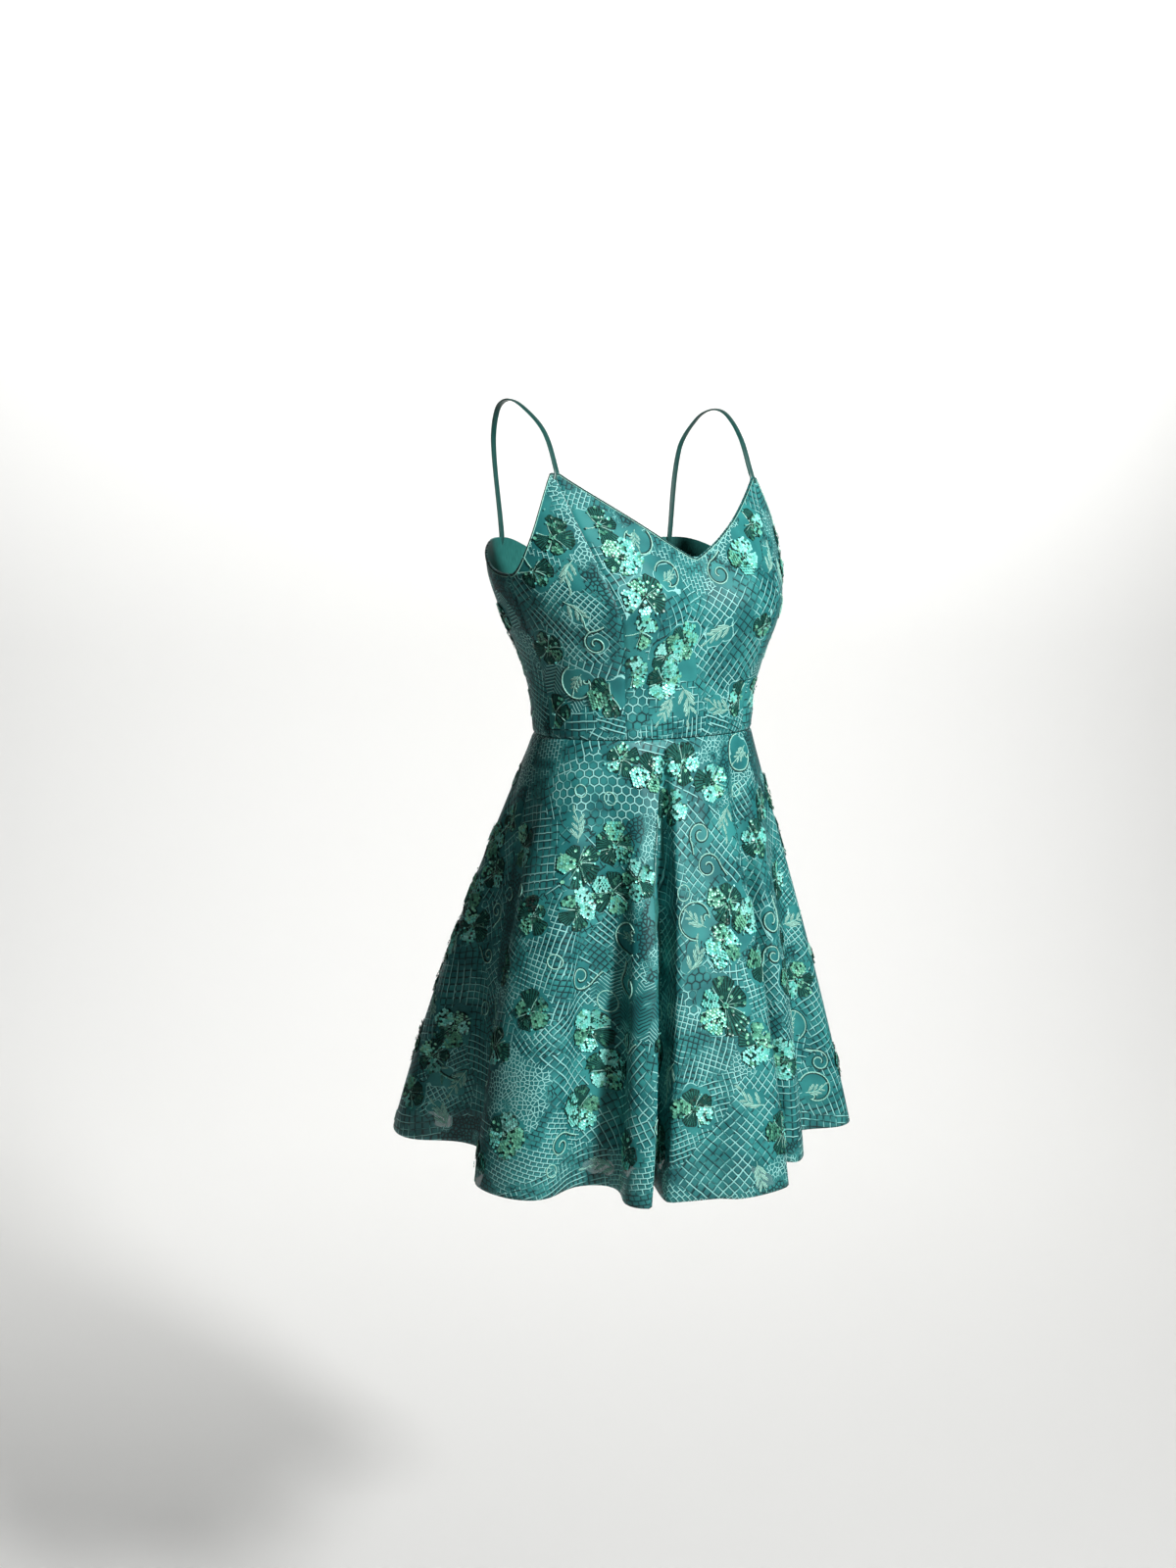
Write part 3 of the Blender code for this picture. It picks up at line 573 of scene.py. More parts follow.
def lace_material(name, patches, skirt=None):
    """Embroidered lace on satin, as mint thread nets over a teal ground: the nets change kind and run from
    patch to patch, and keep clear of the flowers. It reads as satin between the threads, and on a skirt as
    sheer tulle below the lining."""
    material, tree, shader = new_material(name, Roughness=0.50, Specular_IOR_Level=0.30)
    cloth = add(tree, "UVMap", uv_map="Cloth")
    drift = noise_offset(tree, cloth, *PATCH_DRIFT)
    edged = add(tree, "VectorMath ADD", cloth, drift)
    bend = noise_offset(tree, cloth, *THREAD_BEND)
    bent = add(tree, "VectorMath ADD", cloth, bend)

    # Between the large patches, the ground is a quilt of small ones with nets of every kind.
    quilt = add(tree, "TexVoronoi", {"Vector": edged, "Scale": 1 / QUILT_CELL}, voronoi_dimensions="2D")
    lot = add(tree, "SeparateColor", quilt.outputs["Color"])
    rare = add(tree, "Math POWER", lot.outputs["Red"], 2.0)
    kind = add(tree, "Math MULTIPLY", rare, float(QUILT_KINDS))
    kind = add(tree, "Math CEIL", kind)
    turn = add(tree, "Math MULTIPLY", lot.outputs["Green"], math.pi)
    at = add(tree, "VectorRotate", {"Vector": bent, "Angle": turn}, rotation_type="Z_AXIS")

    for patch_kind, x, y, half_width, half_height, degrees in patches:
        angle = (0, 0, math.radians(degrees))
        own = add(
            tree, "Mapping", {"Vector": edged, "Location": (x, y, 0), "Rotation": angle,
                              "Scale": (half_width, half_height, 1)}, vector_type="TEXTURE",
        )
        reach = add(tree, "VectorMath LENGTH", own).outputs["Value"]
        inside = add(tree, "Math LESS_THAN", reach, 1.0)
        run = add(tree, "Mapping", {"Vector": bent, "Rotation": angle}, vector_type="TEXTURE")
        at = add(tree, "MixRGB", inside, at, run)
        kind = add(tree, "Mix", {0: inside, 2: kind, 3: float(patch_kind)})

    # The satin round the flowers is bare, and here and there a cord runs along its edge.
    bare = add(tree, "Attribute", attribute_name="bare").outputs["Fac"]
    wave = add(tree, "TexNoise", {"Vector": cloth, "Scale": 1 / CLEARING_WAVE, "Detail": 1.0})
    bare = add(tree, "Math MULTIPLY_ADD", wave.outputs["Fac"], CLEARING_WAVE_REACH, bare)
    clear = add(tree, "Math LESS_THAN", bare, CLEARING_EDGE)
    kind = add(tree, "Mix", {0: clear, 2: kind, 3: float(SATIN)})
    rim = add(tree, "Math COMPARE", bare, CLEARING_EDGE + 0.0005, 0.0005)
    parts = add(tree, "Math GREATER_THAN", lot.outputs["Blue"], 1 - CORDED_CLEARINGS)
    border = add(tree, "Math MULTIPLY", rim, parts)

    at = add(tree, "VectorMath ADD", at, noise_offset(tree, cloth, *THREAD_SHAKE))
    net = (0.0, 0.0, 0.0, 1.0)
    for number, (draw, pitch) in NETS.items():
        chosen = add(tree, "Math COMPARE", kind, float(number), 0.5)
        net = add(tree, "MixRGB", chosen, net, draw(tree, at, pitch))
    masks = add(tree, "SeparateColor", net)
    thread = add(tree, "Math MAXIMUM", masks.outputs["Red"], border)

    # The ground's dye is uneven. Each of a net's two threads is painted with light and shade: mint where it
    # is painted lit and near black where it is painted in shade, in patches that change over the cloth.
    dye_and_shade_noise = add(tree, "TexNoise", {"Vector": cloth, "Scale": 1 / DYE_AND_SHADE_SIZE, "Detail": 2.0})
    dye_and_shade = add(tree, "SeparateColor", dye_and_shade_noise.outputs["Color"])
    ground = ramp(tree, dye_and_shade.outputs["Blue"], ((0.35, GROUND_DARK), (0.65, GROUND_LIGHT)))
    lit_and_shaded_yarns = [
        ramp(tree, dye, ((low, YARN_LIT), (low + 0.04, YARN_HALF_LIT), (low + 0.08, YARN_SHADED)))
        for dye, low in ((dye_and_shade.outputs["Red"], 0.50), (dye_and_shade.outputs["Green"], 0.46))
    ]
    # How strong the painted shadow beside the threads is: strong where the first thread is painted lit, weak
    # where it is painted in shade.
    depth = add(tree, "MapRange", {
        "Value": dye_and_shade.outputs["Red"], "From Min": 0.47, "From Max": 0.59, "To Min": 0.74, "To Max": 0.24,
    })
    shadow = add(tree, "Math MULTIPLY", masks.outputs["Blue"], depth)
    shaded = add(tree, "MixRGB", shadow, ground, linear(YARN_SHADED))
    under = add(tree, "MixRGB", masks.outputs["Green"], shaded, lit_and_shaded_yarns[1])
    colour = add(tree, "MixRGB", thread, under, lit_and_shaded_yarns[0])
    threads = add(tree, "Math MAXIMUM", thread, masks.outputs["Green"])
    surface(tree, shader, colour, threads, 0.0006, 0.7)

    if skirt:
        apex, lined = skirt
        fallen = add(tree, "VectorMath DISTANCE", cloth, (0.0, apex, 0.0))
        sheer = add(tree, "Math GREATER_THAN", fallen.outputs["Value"], apex + lined)
        open_tulle = add(tree, "Math COMPARE", kind, float(SATIN), 0.5)
        cover = add(tree, "Mix", {0: open_tulle, 2: TULLE_COVER, 3: CLEAR_TULLE_COVER})
        solid = add(tree, "Math MAXIMUM", threads, cover)
        alpha = add(tree, "Mix", {0: sheer, 2: 1.0, 3: solid})
        tree.links.new(alpha.outputs[0], shader.inputs["Alpha"])
    return material


def satin_material(name, colour, lighter, roughness, sheen, floats, painted_edge_highlight=None):
    """Woven satin: smooth, with a soft broad gloss and a faint grain of its long floats, whose breadth and
    length are given. A folded strip gets a painted highlight along its two edges: painted_edge_highlight
    gives the strip's width and that highlight's colour."""
    material, tree, shader = new_material(
        name, Roughness=roughness, Sheen_Weight=sheen, Sheen_Roughness=0.35, Sheen_Tint=linear(lighter)
    )
    cloth = add(tree, "UVMap", uv_map="Cloth")
    stretched = add(tree, "Mapping", {"Vector": cloth, "Scale": (1 / floats[0], 1 / floats[1], 1)})
    grain = add(tree, "TexNoise", {"Vector": stretched, "Scale": 1.0, "Detail": 2.0}).outputs["Fac"]
    shades = ramp(tree, grain, ((0.3, colour), (0.7, lighter)))
    if painted_edge_highlight:
        # A painted highlight along both edges of the folded strip.
        width, edge = painted_edge_highlight
        part = add(tree, "SeparateXYZ", cloth)
        place = add(tree, "Math PINGPONG", part.outputs["X"], width / 2)
        share = add(tree, "Math MULTIPLY", place, 2 / width)
        edges = ramp(tree, share, ((0.05, WHITE), (0.11, BARE), (0.89, BARE), (0.95, WHITE)))
        shades = add(tree, "MixRGB", edges, shades, linear(edge))
    surface(tree, shader, shades, grain, 0.0002, 0.3)
    return material


def thread_material(name, colour, lighter):
    """Twisted embroidery cord: matt, with the dark and light of its ply along it."""
    material, tree, shader = new_material(name, Roughness=0.5, Specular_IOR_Level=0.35)
    place = add(tree, "TexCoord").outputs["Object"]
    ply = add(tree, "TexNoise", {"Vector": place, "Scale": 1 / 0.0016, "Detail": 1.0})
    shades = ramp(tree, ply.outputs["Fac"], ((0.35, colour), (0.65, lighter)))
    surface(tree, shader, shades, ply.outputs["Fac"], 0.0004, 0.6)
    return material


STITCH_RAYS = 6.0  # stitch rows to a radian
STITCH_PITCH = 0.0015
STITCH_MOTTLE = 0.0035
STITCH_MOTTLE_REACH = 0.25


def petal_material():
    """Satin stitch of petals and leaves: silky rows that fan out from the foot, whose tone runs from deep
    green to mint and is mottled, with painted shade in the grooves between the rows."""
    material, tree, shader = new_material("satin stitch", Roughness=0.6, Specular_IOR_Level=0.12)
    tone = add(tree, "Attribute", attribute_name="tone").outputs["Fac"]
    stitch = add(tree, "UVMap", uv_map="Stitch")
    fan = add(tree, "SeparateXYZ", stitch)
    angle = add(tree, "Math ARCTAN2", fan.outputs["Y"], fan.outputs["X"])
    rays = add(tree, "Math MULTIPLY", angle, STITCH_RAYS)
    row = add(tree, "Math PINGPONG", rays, 0.5)
    across = add(tree, "Math MULTIPLY", fan.outputs["X"], 1 / STITCH_PITCH)
    ridge = add(tree, "Math PINGPONG", across, 0.5)
    height = add(tree, "Math ADD", row, ridge)
    place = add(tree, "TexCoord").outputs["Object"]
    mottle = add(tree, "TexNoise", {"Vector": place, "Scale": 1 / STITCH_MOTTLE, "Detail": 1.0})
    mottle = mottle.outputs["Fac"]
    shift = add(tree, "Math MULTIPLY_ADD", mottle, 2 * STITCH_MOTTLE_REACH, -STITCH_MOTTLE_REACH)
    mixed = add(tree, "Math ADD", tone, shift)
    colour = ramp(tree, mixed, ((0.0, "#0c3a33"), (0.25, "#1f5f56"), (0.6, "#3f9182"), (1.0, "#a9e6d6")))
    # Painted shade in the grooves between the stitch rows.
    groove_shade = add(tree, "Math LESS_THAN", row, 0.20)
    depth = add(tree, "Math MULTIPLY", groove_shade, 0.8)
    lined = add(tree, "MixRGB", depth, colour, linear("#061715"))
    surface(tree, shader, lined, height, 0.0007, 0.7)
    return material


# A wave texture takes its scale in twentieths of a ripple.
RIPPLE = 20
TAPE_RIB = 0.0016
TAPE_TWILL = 0.0020


def tape_material(name, colour, lighter):
    """Woven polyester zip tape: matt, with fine ribs along it and a herringbone across them."""
    material, tree, shader = new_material(name, Roughness=0.75, Specular_IOR_Level=0.2)
    cloth = add(tree, "UVMap", uv_map="Cloth")
    ribs = add(tree, "TexWave", {"Vector": cloth, "Scale": 1 / TAPE_RIB / RIPPLE, "Distortion": 0.4})
    twill = add(
        tree, "TexWave", {"Vector": cloth, "Scale": 1 / TAPE_TWILL / RIPPLE, "Distortion": 0.8},
        bands_direction="DIAGONAL",
    )
    weave = add(tree, "Math MULTIPLY", ribs.outputs["Fac"], twill.outputs["Fac"])
    shades = ramp(tree, weave, ((0.1, colour), (0.8, lighter)))
    surface(tree, shader, shades, weave, 0.0002, 0.5)
    return material


def coil_material():
    """Dyed nylon teeth: smooth and unevenly dyed."""
    material, tree, shader = new_material("teal nylon teeth", Roughness=0.35, Coat_Weight=0.2)
    place = add(tree, "TexCoord").outputs["Object"]
    dye = add(tree, "TexNoise", {"Vector": place, "Scale": 1 / 0.004, "Detail": 2.0})
    shades = ramp(tree, dye.outputs["Fac"], ((0.3, "#1d5a57"), (0.7, "#2f7b76")))
    surface(tree, shader, shades)
    return material


def enamel_material():
    """Teal enamel on a cast zinc slider: glossy, thin and brighter at its worn corners."""
    material, tree, shader = new_material(
        "enamelled zinc", Metallic=0.3, Coat_Weight=0.7, Coat_Roughness=0.08
    )
    place = add(tree, "TexCoord").outputs["Object"]
    paint = add(tree, "TexNoise", {"Vector": place, "Scale": 1 / 0.003, "Detail": 3.0})
    worn = add(tree, "NewGeometry").outputs["Pointiness"]
    edge = ramp(tree, worn, ((0.52, BARE), (0.60, WHITE)))
    shades = ramp(tree, paint.outputs["Fac"], ((0.3, "#1f5f5b"), (0.7, "#2a716c")))
    colour = add(tree, "MixRGB", edge, shades, linear("#9db8b4"))
    surface(tree, shader, colour)
    rough = add(tree, "MapRange", {"Value": paint.outputs["Fac"], "To Min": 0.20, "To Max": 0.42})
    tree.links.new(rough.outputs[0], shader.inputs["Roughness"])
    return material


def sequin_material():
    """Pearl-coated plastic sequins: glossy cupped discs, whose tone is painted, from deep green as shade to
    near white as a glint.
    """
    material, tree, shader = new_material(
        "pearl sequin", Roughness=0.40, Metallic=0.15, Coat_Weight=0.22, Coat_Roughness=0.16
    )
    tone = add(tree, "Attribute", attribute_name="tone").outputs["Fac"]
    colour = ramp(tree, tone, (
        (0.0, "#0d2b26"), (0.22, "#265f50"), (0.42, "#4fa287"),
        (0.58, "#80d2ae"), (0.74, "#5fd3c4"), (1.0, "#9ff3e8"),
    ))
    surface(tree, shader, colour)
    return material


# ---------------------------------------------------------------- the embroidery
THREAD_RADIUS = 0.00060
THREAD_LIFT = 0.35  # of its radius
SEQUIN_RADIUS = 0.0018
SEQUIN_PITCH = 0.0031
SEQUIN_ROW = 0.87  # from one row of sequins to the next, in pitches
SEQUIN_LIFT = 0.0011
SEQUIN_CUP = 0.28  # how far a sequin's middle is sunk, of its radius
STRAY_SEQUINS = 0.14  # the share of sequins whose painted tone is any dark one
EDGE_MARGIN = 0.0012
SEQUIN_MARGIN = 0.0020
FAR_FROM_MOTIFS = 0.03
PETAL_WIDTH = 0.60
PETAL_STEP = 0.0004  # from one overlapping petal to the next
PETAL_DOME = 0.0008
LEAF_DOME = 0.0010
SCROLL_SHADOW_GAP = 0.0015  # from a scroll's heavy cord to the dark cord beside it, which is a painted shadow
FREE_CENTRES = 0.42  # the share of a motif's size that other motifs' places keep clear of
TRIES_A_SQUARE_METRE = 3000
OUTLINE = np.linspace(0, 2 * math.pi, 25)[:-1]

# The motifs strewn in free places, the largest first: each kind's size and its share of the tries.
STREWN = (
    ("flower", 0.042, 0.16), ("comma", 0.042, 0.10), ("sprig", 0.036, 0.24), ("curl", 0.024, 0.08),
    ("ring", 0.014, 0.08),
)


def turned(points, x, y, degrees):
    """Flat points turned about the origin and moved to x, y."""
    cos, sin = math.cos(math.radians(degrees)), math.sin(math.radians(degrees))
    return points @ np.array(((cos, sin), (-sin, cos))) + (x, y)


def disc_template(sides, inner):
    """A flat disc of radius 1: a fan of faces round a middle point, in a ring of them where inner is the
    fan's radius."""
    bm = bmesh.new()
    bmesh.ops.create_circle(bm, segments=sides, radius=1.0, cap_ends=True)
    if inner:
        bmesh.ops.inset_region(bm, faces=bm.faces[:], thickness=1 - inner, depth=0)
    top = min(bm.faces, key=lambda face: face.calc_center_median().length)
    bmesh.ops.poke(bm, faces=[top])
    points = np.array([vertex.co[:2] for vertex in bm.verts])
    faces = [[vertex.index for vertex in face.verts] for face in bm.faces]
    bm.free()
    return points, faces


def petal_outline(u, v):
    """A disc's points on a petal: narrow at its foot at 0, broad and scalloped towards its notched tip
    at 1."""
    angle = np.arctan2(v, u)
    scallop = 0.09 * np.cos(6 * angle + 0.6)
    notch = 0.13 * np.exp(-((angle / 0.35) ** 2))
    edge = 1 + (scallop - notch) * (u > -0.2)
    return 0.5 + 0.5 * u * edge, v * edge * petal_breadth(u)


def petal_breadth(u):
    """Half a petal's breadth, as a share of its length, of which u runs from -1 at the foot to 1."""
    return PETAL_WIDTH * (0.60 + 0.40 * u)


def leaf_outline(u, v):
    """A disc's points on a leaf, from its stalk at 0 to its tip at 1."""
    return 0.5 + 0.5 * u, 0.5 * v * (1 - 0.45 * u * u)


def link_object(name, data):
    made = bpy.data.objects.new(name, data)
    bpy.context.scene.collection.objects.link(made)
    return made


def joined_mesh(name, shapes, faces, tones, material, stitch=None):
    """One object from many copies of a small shape. shapes holds each copy's own points."""
    copies, corners = shapes.shape[:2]
    mesh = bpy.data.meshes.new(name)
    all_faces = [[index + copy * corners for index in face] for copy in range(copies) for face in faces]
    mesh.from_pydata(shapes.reshape(-1, 3), [], all_faces)
    tone = mesh.attributes.new("tone", "FLOAT", "POINT")
    tone.data.foreach_set("value", np.repeat(tones, corners))
    if stitch is not None:
        loops = np.empty(len(mesh.loops), int)
        mesh.loops.foreach_get("vertex_index", loops)
        stitch_map = mesh.uv_layers.new(name="Stitch")
        stitch_map.data.foreach_set("uv", stitch.reshape(-1, 2)[loops].ravel())
    mesh.shade_smooth()
    mesh.materials.append(material)
    return link_object(name, mesh)


# Each kind of petal, bright, middling, dark or overgrown with dark sequins: the tone of its filling, which is
# the thread's own colour, the share of its sequins that are there, and the tones that the whole petal's
# sequins lie round. Those sequin tones are painted: a glint on the bright petals and shade on the darker
# ones.
PETAL_FILLS_AND_GLINTS = {
    "B": (0.10, 0.90, (0.78, 0.95)),
    "M": (0.08, 0.90, (0.38, 0.68)),
    "D": (0.16, 0.16, (0.10, 0.60)),
    "O": (0.10, 0.60, (0.05, 0.34)),
}


class Embroidery:
    """What is stitched on one panel, drawn on its flat pattern."""

    def __init__(self, cloth, top, seed):
        self.cloth = cloth
        self.top = top
        self.rng = np.random.default_rng(seed)
        self.threads = []
        self.petals = []
        self.leaves = []
        self.sequins = []
        self.taken = []
        self.clearings = []

    def inside(self, points, margin=EDGE_MARGIN):
        """Whether each flat point lies on the panel, a margin within its edges."""
        points = np.atleast_2d(points)
        across, down = self.cloth.shares(points[:, 0], points[:, 1])
        width = np.interp(down, np.linspace(0, 1, len(self.cloth.down)), self.cloth.widths)
        clear = (across * width > margin) & ((1 - across) * width > margin)
        height = self.cloth.from_waist(points[:, 0], points[:, 1])
        limit = self.cloth.length if self.top is None else np.interp(points[:, 0], *self.top)
        return clear & (height > margin) & (height < limit - margin)

    def free(self, x, y, radius):
        return all(math.hypot(x - a, y - b) > radius + r for a, b, r in self.taken)

    def clear(self, x, y, radius):
        """Keeps the net off a round place, so that the satin shows."""
        self.clearings.append((x, y, radius))

    def bare(self, points):
        """How far each flat point lies from the nearest clearing, and less than 0 in one."""
        nearest = np.full(len(points), FAR_FROM_MOTIFS)
        for x, y, radius in self.clearings:
            nearest = np.minimum(nearest, np.hypot(points[:, 0] - x, points[:, 1] - y) - radius)
        return nearest

    def thread(self, points, width=1.0, tone=0, closed=False):
        """A couched thread, cut where it would leave the panel."""
        if closed:
            points = np.vstack((points, points[:2]))
        kept = self.inside(points)
        for run in np.split(np.arange(len(points)), np.flatnonzero(np.diff(kept)) + 1):
            if kept[run[0]] and len(run) > 2:
                self.threads.append((points[run], width, tone))

    def petal(self, x, y, turn, length, glint_kind, lift):
        """A petal from its foot at x, y: its filling, the cord round it and its sequins."""
        tone, share, tones = PETAL_FILLS_AND_GLINTS[glint_kind]
        broad = self.rng.uniform(0.82, 1.15)
        outline = np.stack(petal_outline(np.cos(OUTLINE), np.sin(OUTLINE)), axis=-1)
        outline = turned(outline * (length, length * broad), x, y, turn)
        if not self.inside(outline).all():
            return
        self.petals.append((x, y, turn, length, broad, tone + self.rng.uniform(0, 0.14), lift))
        self.thread(outline, 0.7, 1, closed=True)
        if glint_kind == "D":
            for ray in (-20, 12):
                vein = np.linspace((0.1, 0), (0.66, 0), 4) * length
                self.thread(turned(turned(vein, 0, 0, ray), x, y, turn), 0.5, 0)
        lean = self.rng.uniform(-0.30, 0.30)
        # The tone that the petal's sequins lie round: a painted glint when high, painted shade when low.
        middle = self.rng.uniform(*tones)
        for row, along in enumerate(np.arange(0.22, 0.97, SEQUIN_PITCH * SEQUIN_ROW / length)):
            u = 2 * along - 1
            half = petal_breadth(u) * broad * math.sqrt(max(0.0, 1 - u * u))
            steps = np.arange((row % 2) * 0.5, half * length / SEQUIN_PITCH, 1.0)
            for beside in {*steps, *-steps}:
                if self.rng.random() < share:
                    spot = np.array((along * length, beside * SEQUIN_PITCH))
                    self.sequin(turned(spot, x, y, turn), turn, lean, middle, lift)

    def sequin(self, spot, turn, lean, tone, lift=0.0, size=1.0):
        """A cupped sequin, whose own tone strays from the one that is asked for, and now and then far. Its
        tone is painted: light as a glint and dark as shade.
        """
        if not self.inside(spot, SEQUIN_MARGIN)[0]:
            return
        tone = float(np.clip(tone + self.rng.normal(0, 0.09), 0, 1))
        if self.rng.random() < STRAY_SEQUINS:
            tone = self.rng.uniform(0.0, 0.6)
        self.sequins.append((
            *spot, turn + self.rng.uniform(-20, 20), SEQUIN_RADIUS * size * self.rng.uniform(0.85, 1.1),
            lean + 0.16 + self.rng.uniform(-0.16, 0.16), self.rng.uniform(-0.2, 0.2), tone, lift,
        ))

    def flower(self, x, y, turn, size, finishes):
        """A five-petalled flower with stamens and a beaded middle, on a clearing of bare satin."""
        self.taken.append((x, y, size * FREE_CENTRES))
        self.clear(x, y, size * 0.50)
        # finishes gives each petal's kind by one letter: bright ones whose sequins carry a painted glint,
        # darker ones with painted shade.
        for number, glint_kind in enumerate(finishes):
            direction = turn + 360 / len(finishes) * number + self.rng.uniform(-7, 7)
            foot = turned(np.array((0.03 * size, 0.0)), x, y, direction)
            length = size * self.rng.uniform(0.38, 0.54)
            self.petal(*foot, direction, length, glint_kind, PETAL_STEP * (number % 3))
            reach = self.rng.uniform(0.30, 0.46)
            stamen = np.array(((0.02, 0.0), (reach / 2, 0.015), (reach, 0.0))) * size
            self.thread(turned(stamen, x, y, direction + 36), 1.0, 0)
            self.sequin(turned(stamen[-1], x, y, direction + 36), direction, 0.2, 0.8, 0.0008, 0.6)
        for number in range(5):
            spot = turned(np.array((SEQUIN_PITCH * 0.7, 0.0)), x, y, turn + 72 * number)
            self.sequin(spot, 60 * number, 0.2, self.rng.uniform(0.1, 0.9), 0.0014, 0.7)

    def leaf(self, x, y, turn, length, width, tone):
        """A leaf in satin stitch, from its stalk at x, y."""
        shape = np.array(((0.0, 0.0), (length / 2, width / 2), (length / 2, -width / 2), (length, 0.0)))
        if self.inside(turned(shape, x, y, turn)).all():
            self.leaves.append((x, y, turn, length, width, tone))

    def sprig(self, x, y, turn, size, pairs=3):
        """A curved stalk with pairs of slender leaves and one at its tip."""
        self.taken.append((x, y, size * FREE_CENTRES))
        for end in (-0.22, 0.20):
            self.clear(*turned(np.array((end * size, 0.0)), x, y, turn), size * 0.26)
        share = np.linspace(0, 1, 10)
        bend = self.rng.uniform(-0.22, 0.22)
        stalk = np.stack((share - 0.5, bend * np.sin(share * math.pi)), axis=-1) * size
        self.thread(turned(stalk, x, y, turn), 0.8, 0)
        tone = self.rng.uniform(0.92, 1.15)
        for pair in range(pairs):
            at = 0.12 + 0.72 * pair / pairs
            root = turned(np.array((at - 0.5, bend * math.sin(at * math.pi))) * size, x, y, turn)
            for side in (-1, 1):
                length = size * (0.46 - 0.06 * pair) * self.rng.uniform(0.9, 1.1)
                self.leaf(*root, turn + side * self.rng.uniform(26, 40), length, length * 0.31, tone)
        tip = turned(np.array((0.42, 0.0)) * size, x, y, turn)
        self.leaf(*tip, turn, size * 0.3, size * 0.09, tone)

    def scroll(self, path, x, y, turn, width):
        """A heavy cord with a dark cord along one side, which is a painted shadow of the heavy cord."""
        away = unit(np.gradient(path, axis=0) @ np.array(((0.0, 1.0), (-1.0, 0.0))))
        self.thread(turned(path, x, y, turn), width, 0)
        self.thread(turned(path + away * SCROLL_SHADOW_GAP, x, y, turn), 0.8, 1)

    def curl(self, x, y, turn, size, hand):
        """A cord that winds in to its middle, and whose tail is led away."""
        self.taken.append((x, y, size * 0.50))
        self.clear(x, y, size * 0.42)
        wound = np.linspace(0, 1, 30)
        angle = wound * 2.7 * math.pi
        radius = size * 0.5 * (1 - 0.80 * wound**0.85)
        coil = np.stack((radius * np.cos(angle), hand * radius * np.sin(angle)), axis=-1)
        led = np.linspace(1, 0, 7)[:-1]
        tail = np.stack((0.5 + 0.10 * led**2, -0.55 * hand * led), axis=-1) * size
        self.scroll(np.vstack((tail, coil)), x, y, turn, 1.3)

    def comma(self, x, y, turn, size, hand):
        """A large open scroll with a hooked end, and a leaf spray in its bowl."""
        self.clear(x, y, size * 0.46)
        angle = np.radians(np.linspace(-80, 190, 24))
        radius = size * np.linspace(0.36, 0.50, 24)
        bowl = np.stack((radius * np.cos(angle), hand * radius * np.sin(angle)), axis=-1)
        hook = np.radians(np.linspace(150, -60, 9))
        middle = bowl[0] + np.array((0.0, 0.085 * hand)) * size
        end = middle + np.stack((np.cos(hook), hand * np.sin(hook)), axis=-1) * 0.07 * size
        self.scroll(np.vstack((end, bowl)), x, y, turn, 1.3)
        self.sprig(x, y, turn + 60 * hand, size * 0.66)

    def ring(self, x, y, size):
        """A ring of thread round a little of the net."""
        self.taken.append((x, y, size * 0.55))
        oval = np.stack((0.42 * np.cos(OUTLINE), 0.5 * np.sin(OUTLINE)), axis=-1) * size
        self.thread(turned(oval, x, y, 0), 1.1, 0, True)

    def stem(self, start, end, bow):
        """A beaded stem between two places, with leaves along it."""
        start, end = np.array(start), np.array(end)
        share = np.linspace(0, 1, 14)[:, None]
        side = np.array((start[1] - end[1], end[0] - start[0]))
        path = start + (end - start) * share + side * bow * np.sin(share * math.pi)
        self.scroll(path, 0.0, 0.0, 0.0, 1.2)
        turn = math.degrees(math.atan2(*(end - start)[::-1]))
        for number, hand in ((4, 1), (7, -1), (10, 1)):
            self.leaf(*path[number], turn + hand * 38, 0.014, 0.0034, self.rng.uniform(0.6, 1.0))
        for place in path[3:12:2]:
            self.sequin(place, turn, 0.1, 0.85, 0.0006, 0.7)
        self.clear(*path[7], np.linalg.norm(end - start) * 0.3)

    def garland(self, x, y, turn, size, count):
        """Flowers one after another on beaded stems, now to one side and now to the other, and a sprig."""
        for number in range(count):
            glint_kind = FLOWER_GLINT_ORDERS[self.rng.integers(len(FLOWER_GLINT_ORDERS))]
            if self.inside((x, y), size * 0.2)[0]:
                self.flower(x, y, self.rng.uniform(0, 72), size * self.rng.uniform(0.85, 1.1), glint_kind)
            sway = 38 if number % 2 else -38
            onward = turned(np.array((size * self.rng.uniform(0.85, 1.05), 0.0)), x, y, turn + sway)
            self.stem((x, y), onward, self.rng.uniform(-0.2, 0.2))
            x, y = onward
        self.sprig(x, y, turn + self.rng.uniform(-40, 40), size * 0.8)

    def scatter(self, count):
        """Motifs in the free places of the panel, by a count of tries."""
        width, reach = self.cloth.widths.max(), (self.cloth.heights.min(), self.cloth.heights.max())
        if self.top is None:
            reach = -self.cloth.length - 0.01, 0.0
        for kind, size, share in STREWN:
            for _ in range(int(count * share)):
                x, y = self.rng.uniform(-0.5, 0.5) * width, self.rng.uniform(*reach)
                if self.inside((x, y), size * 0.4)[0] and self.free(x, y, size * 0.75):
                    style = self.rng.choice((-1, 1)) if kind != "flower" else self.rng.choice(FLOWER_GLINT_ORDERS)
                    self.draw(kind, x, y, self.rng.uniform(0, 360), size * self.rng.uniform(0.9, 1.15), style)

    def draw(self, kind, x, y, turn, size, style):
        """A motif of a kind. Only flowers, garlands and scrolls have a style."""
        if kind == "ring":
            self.ring(x, y, size)
        elif kind == "sprig":
            self.sprig(x, y, turn, size)
        else:
            motif = {"flower": self.flower, "garland": self.garland, "curl": self.curl, "comma": self.comma}
            motif[kind](x, y, turn, size, style)

    def edge_threads(self):
        """The corded line that finishes a top edge, and the row of stitches under it."""
        x, y = self.top
        for below, width, tone in ((0.0013, 0.9, 1), (0.0030, 0.7, 0)):
            self.thread(np.stack((x, y - below), axis=-1)[::2], width, tone)

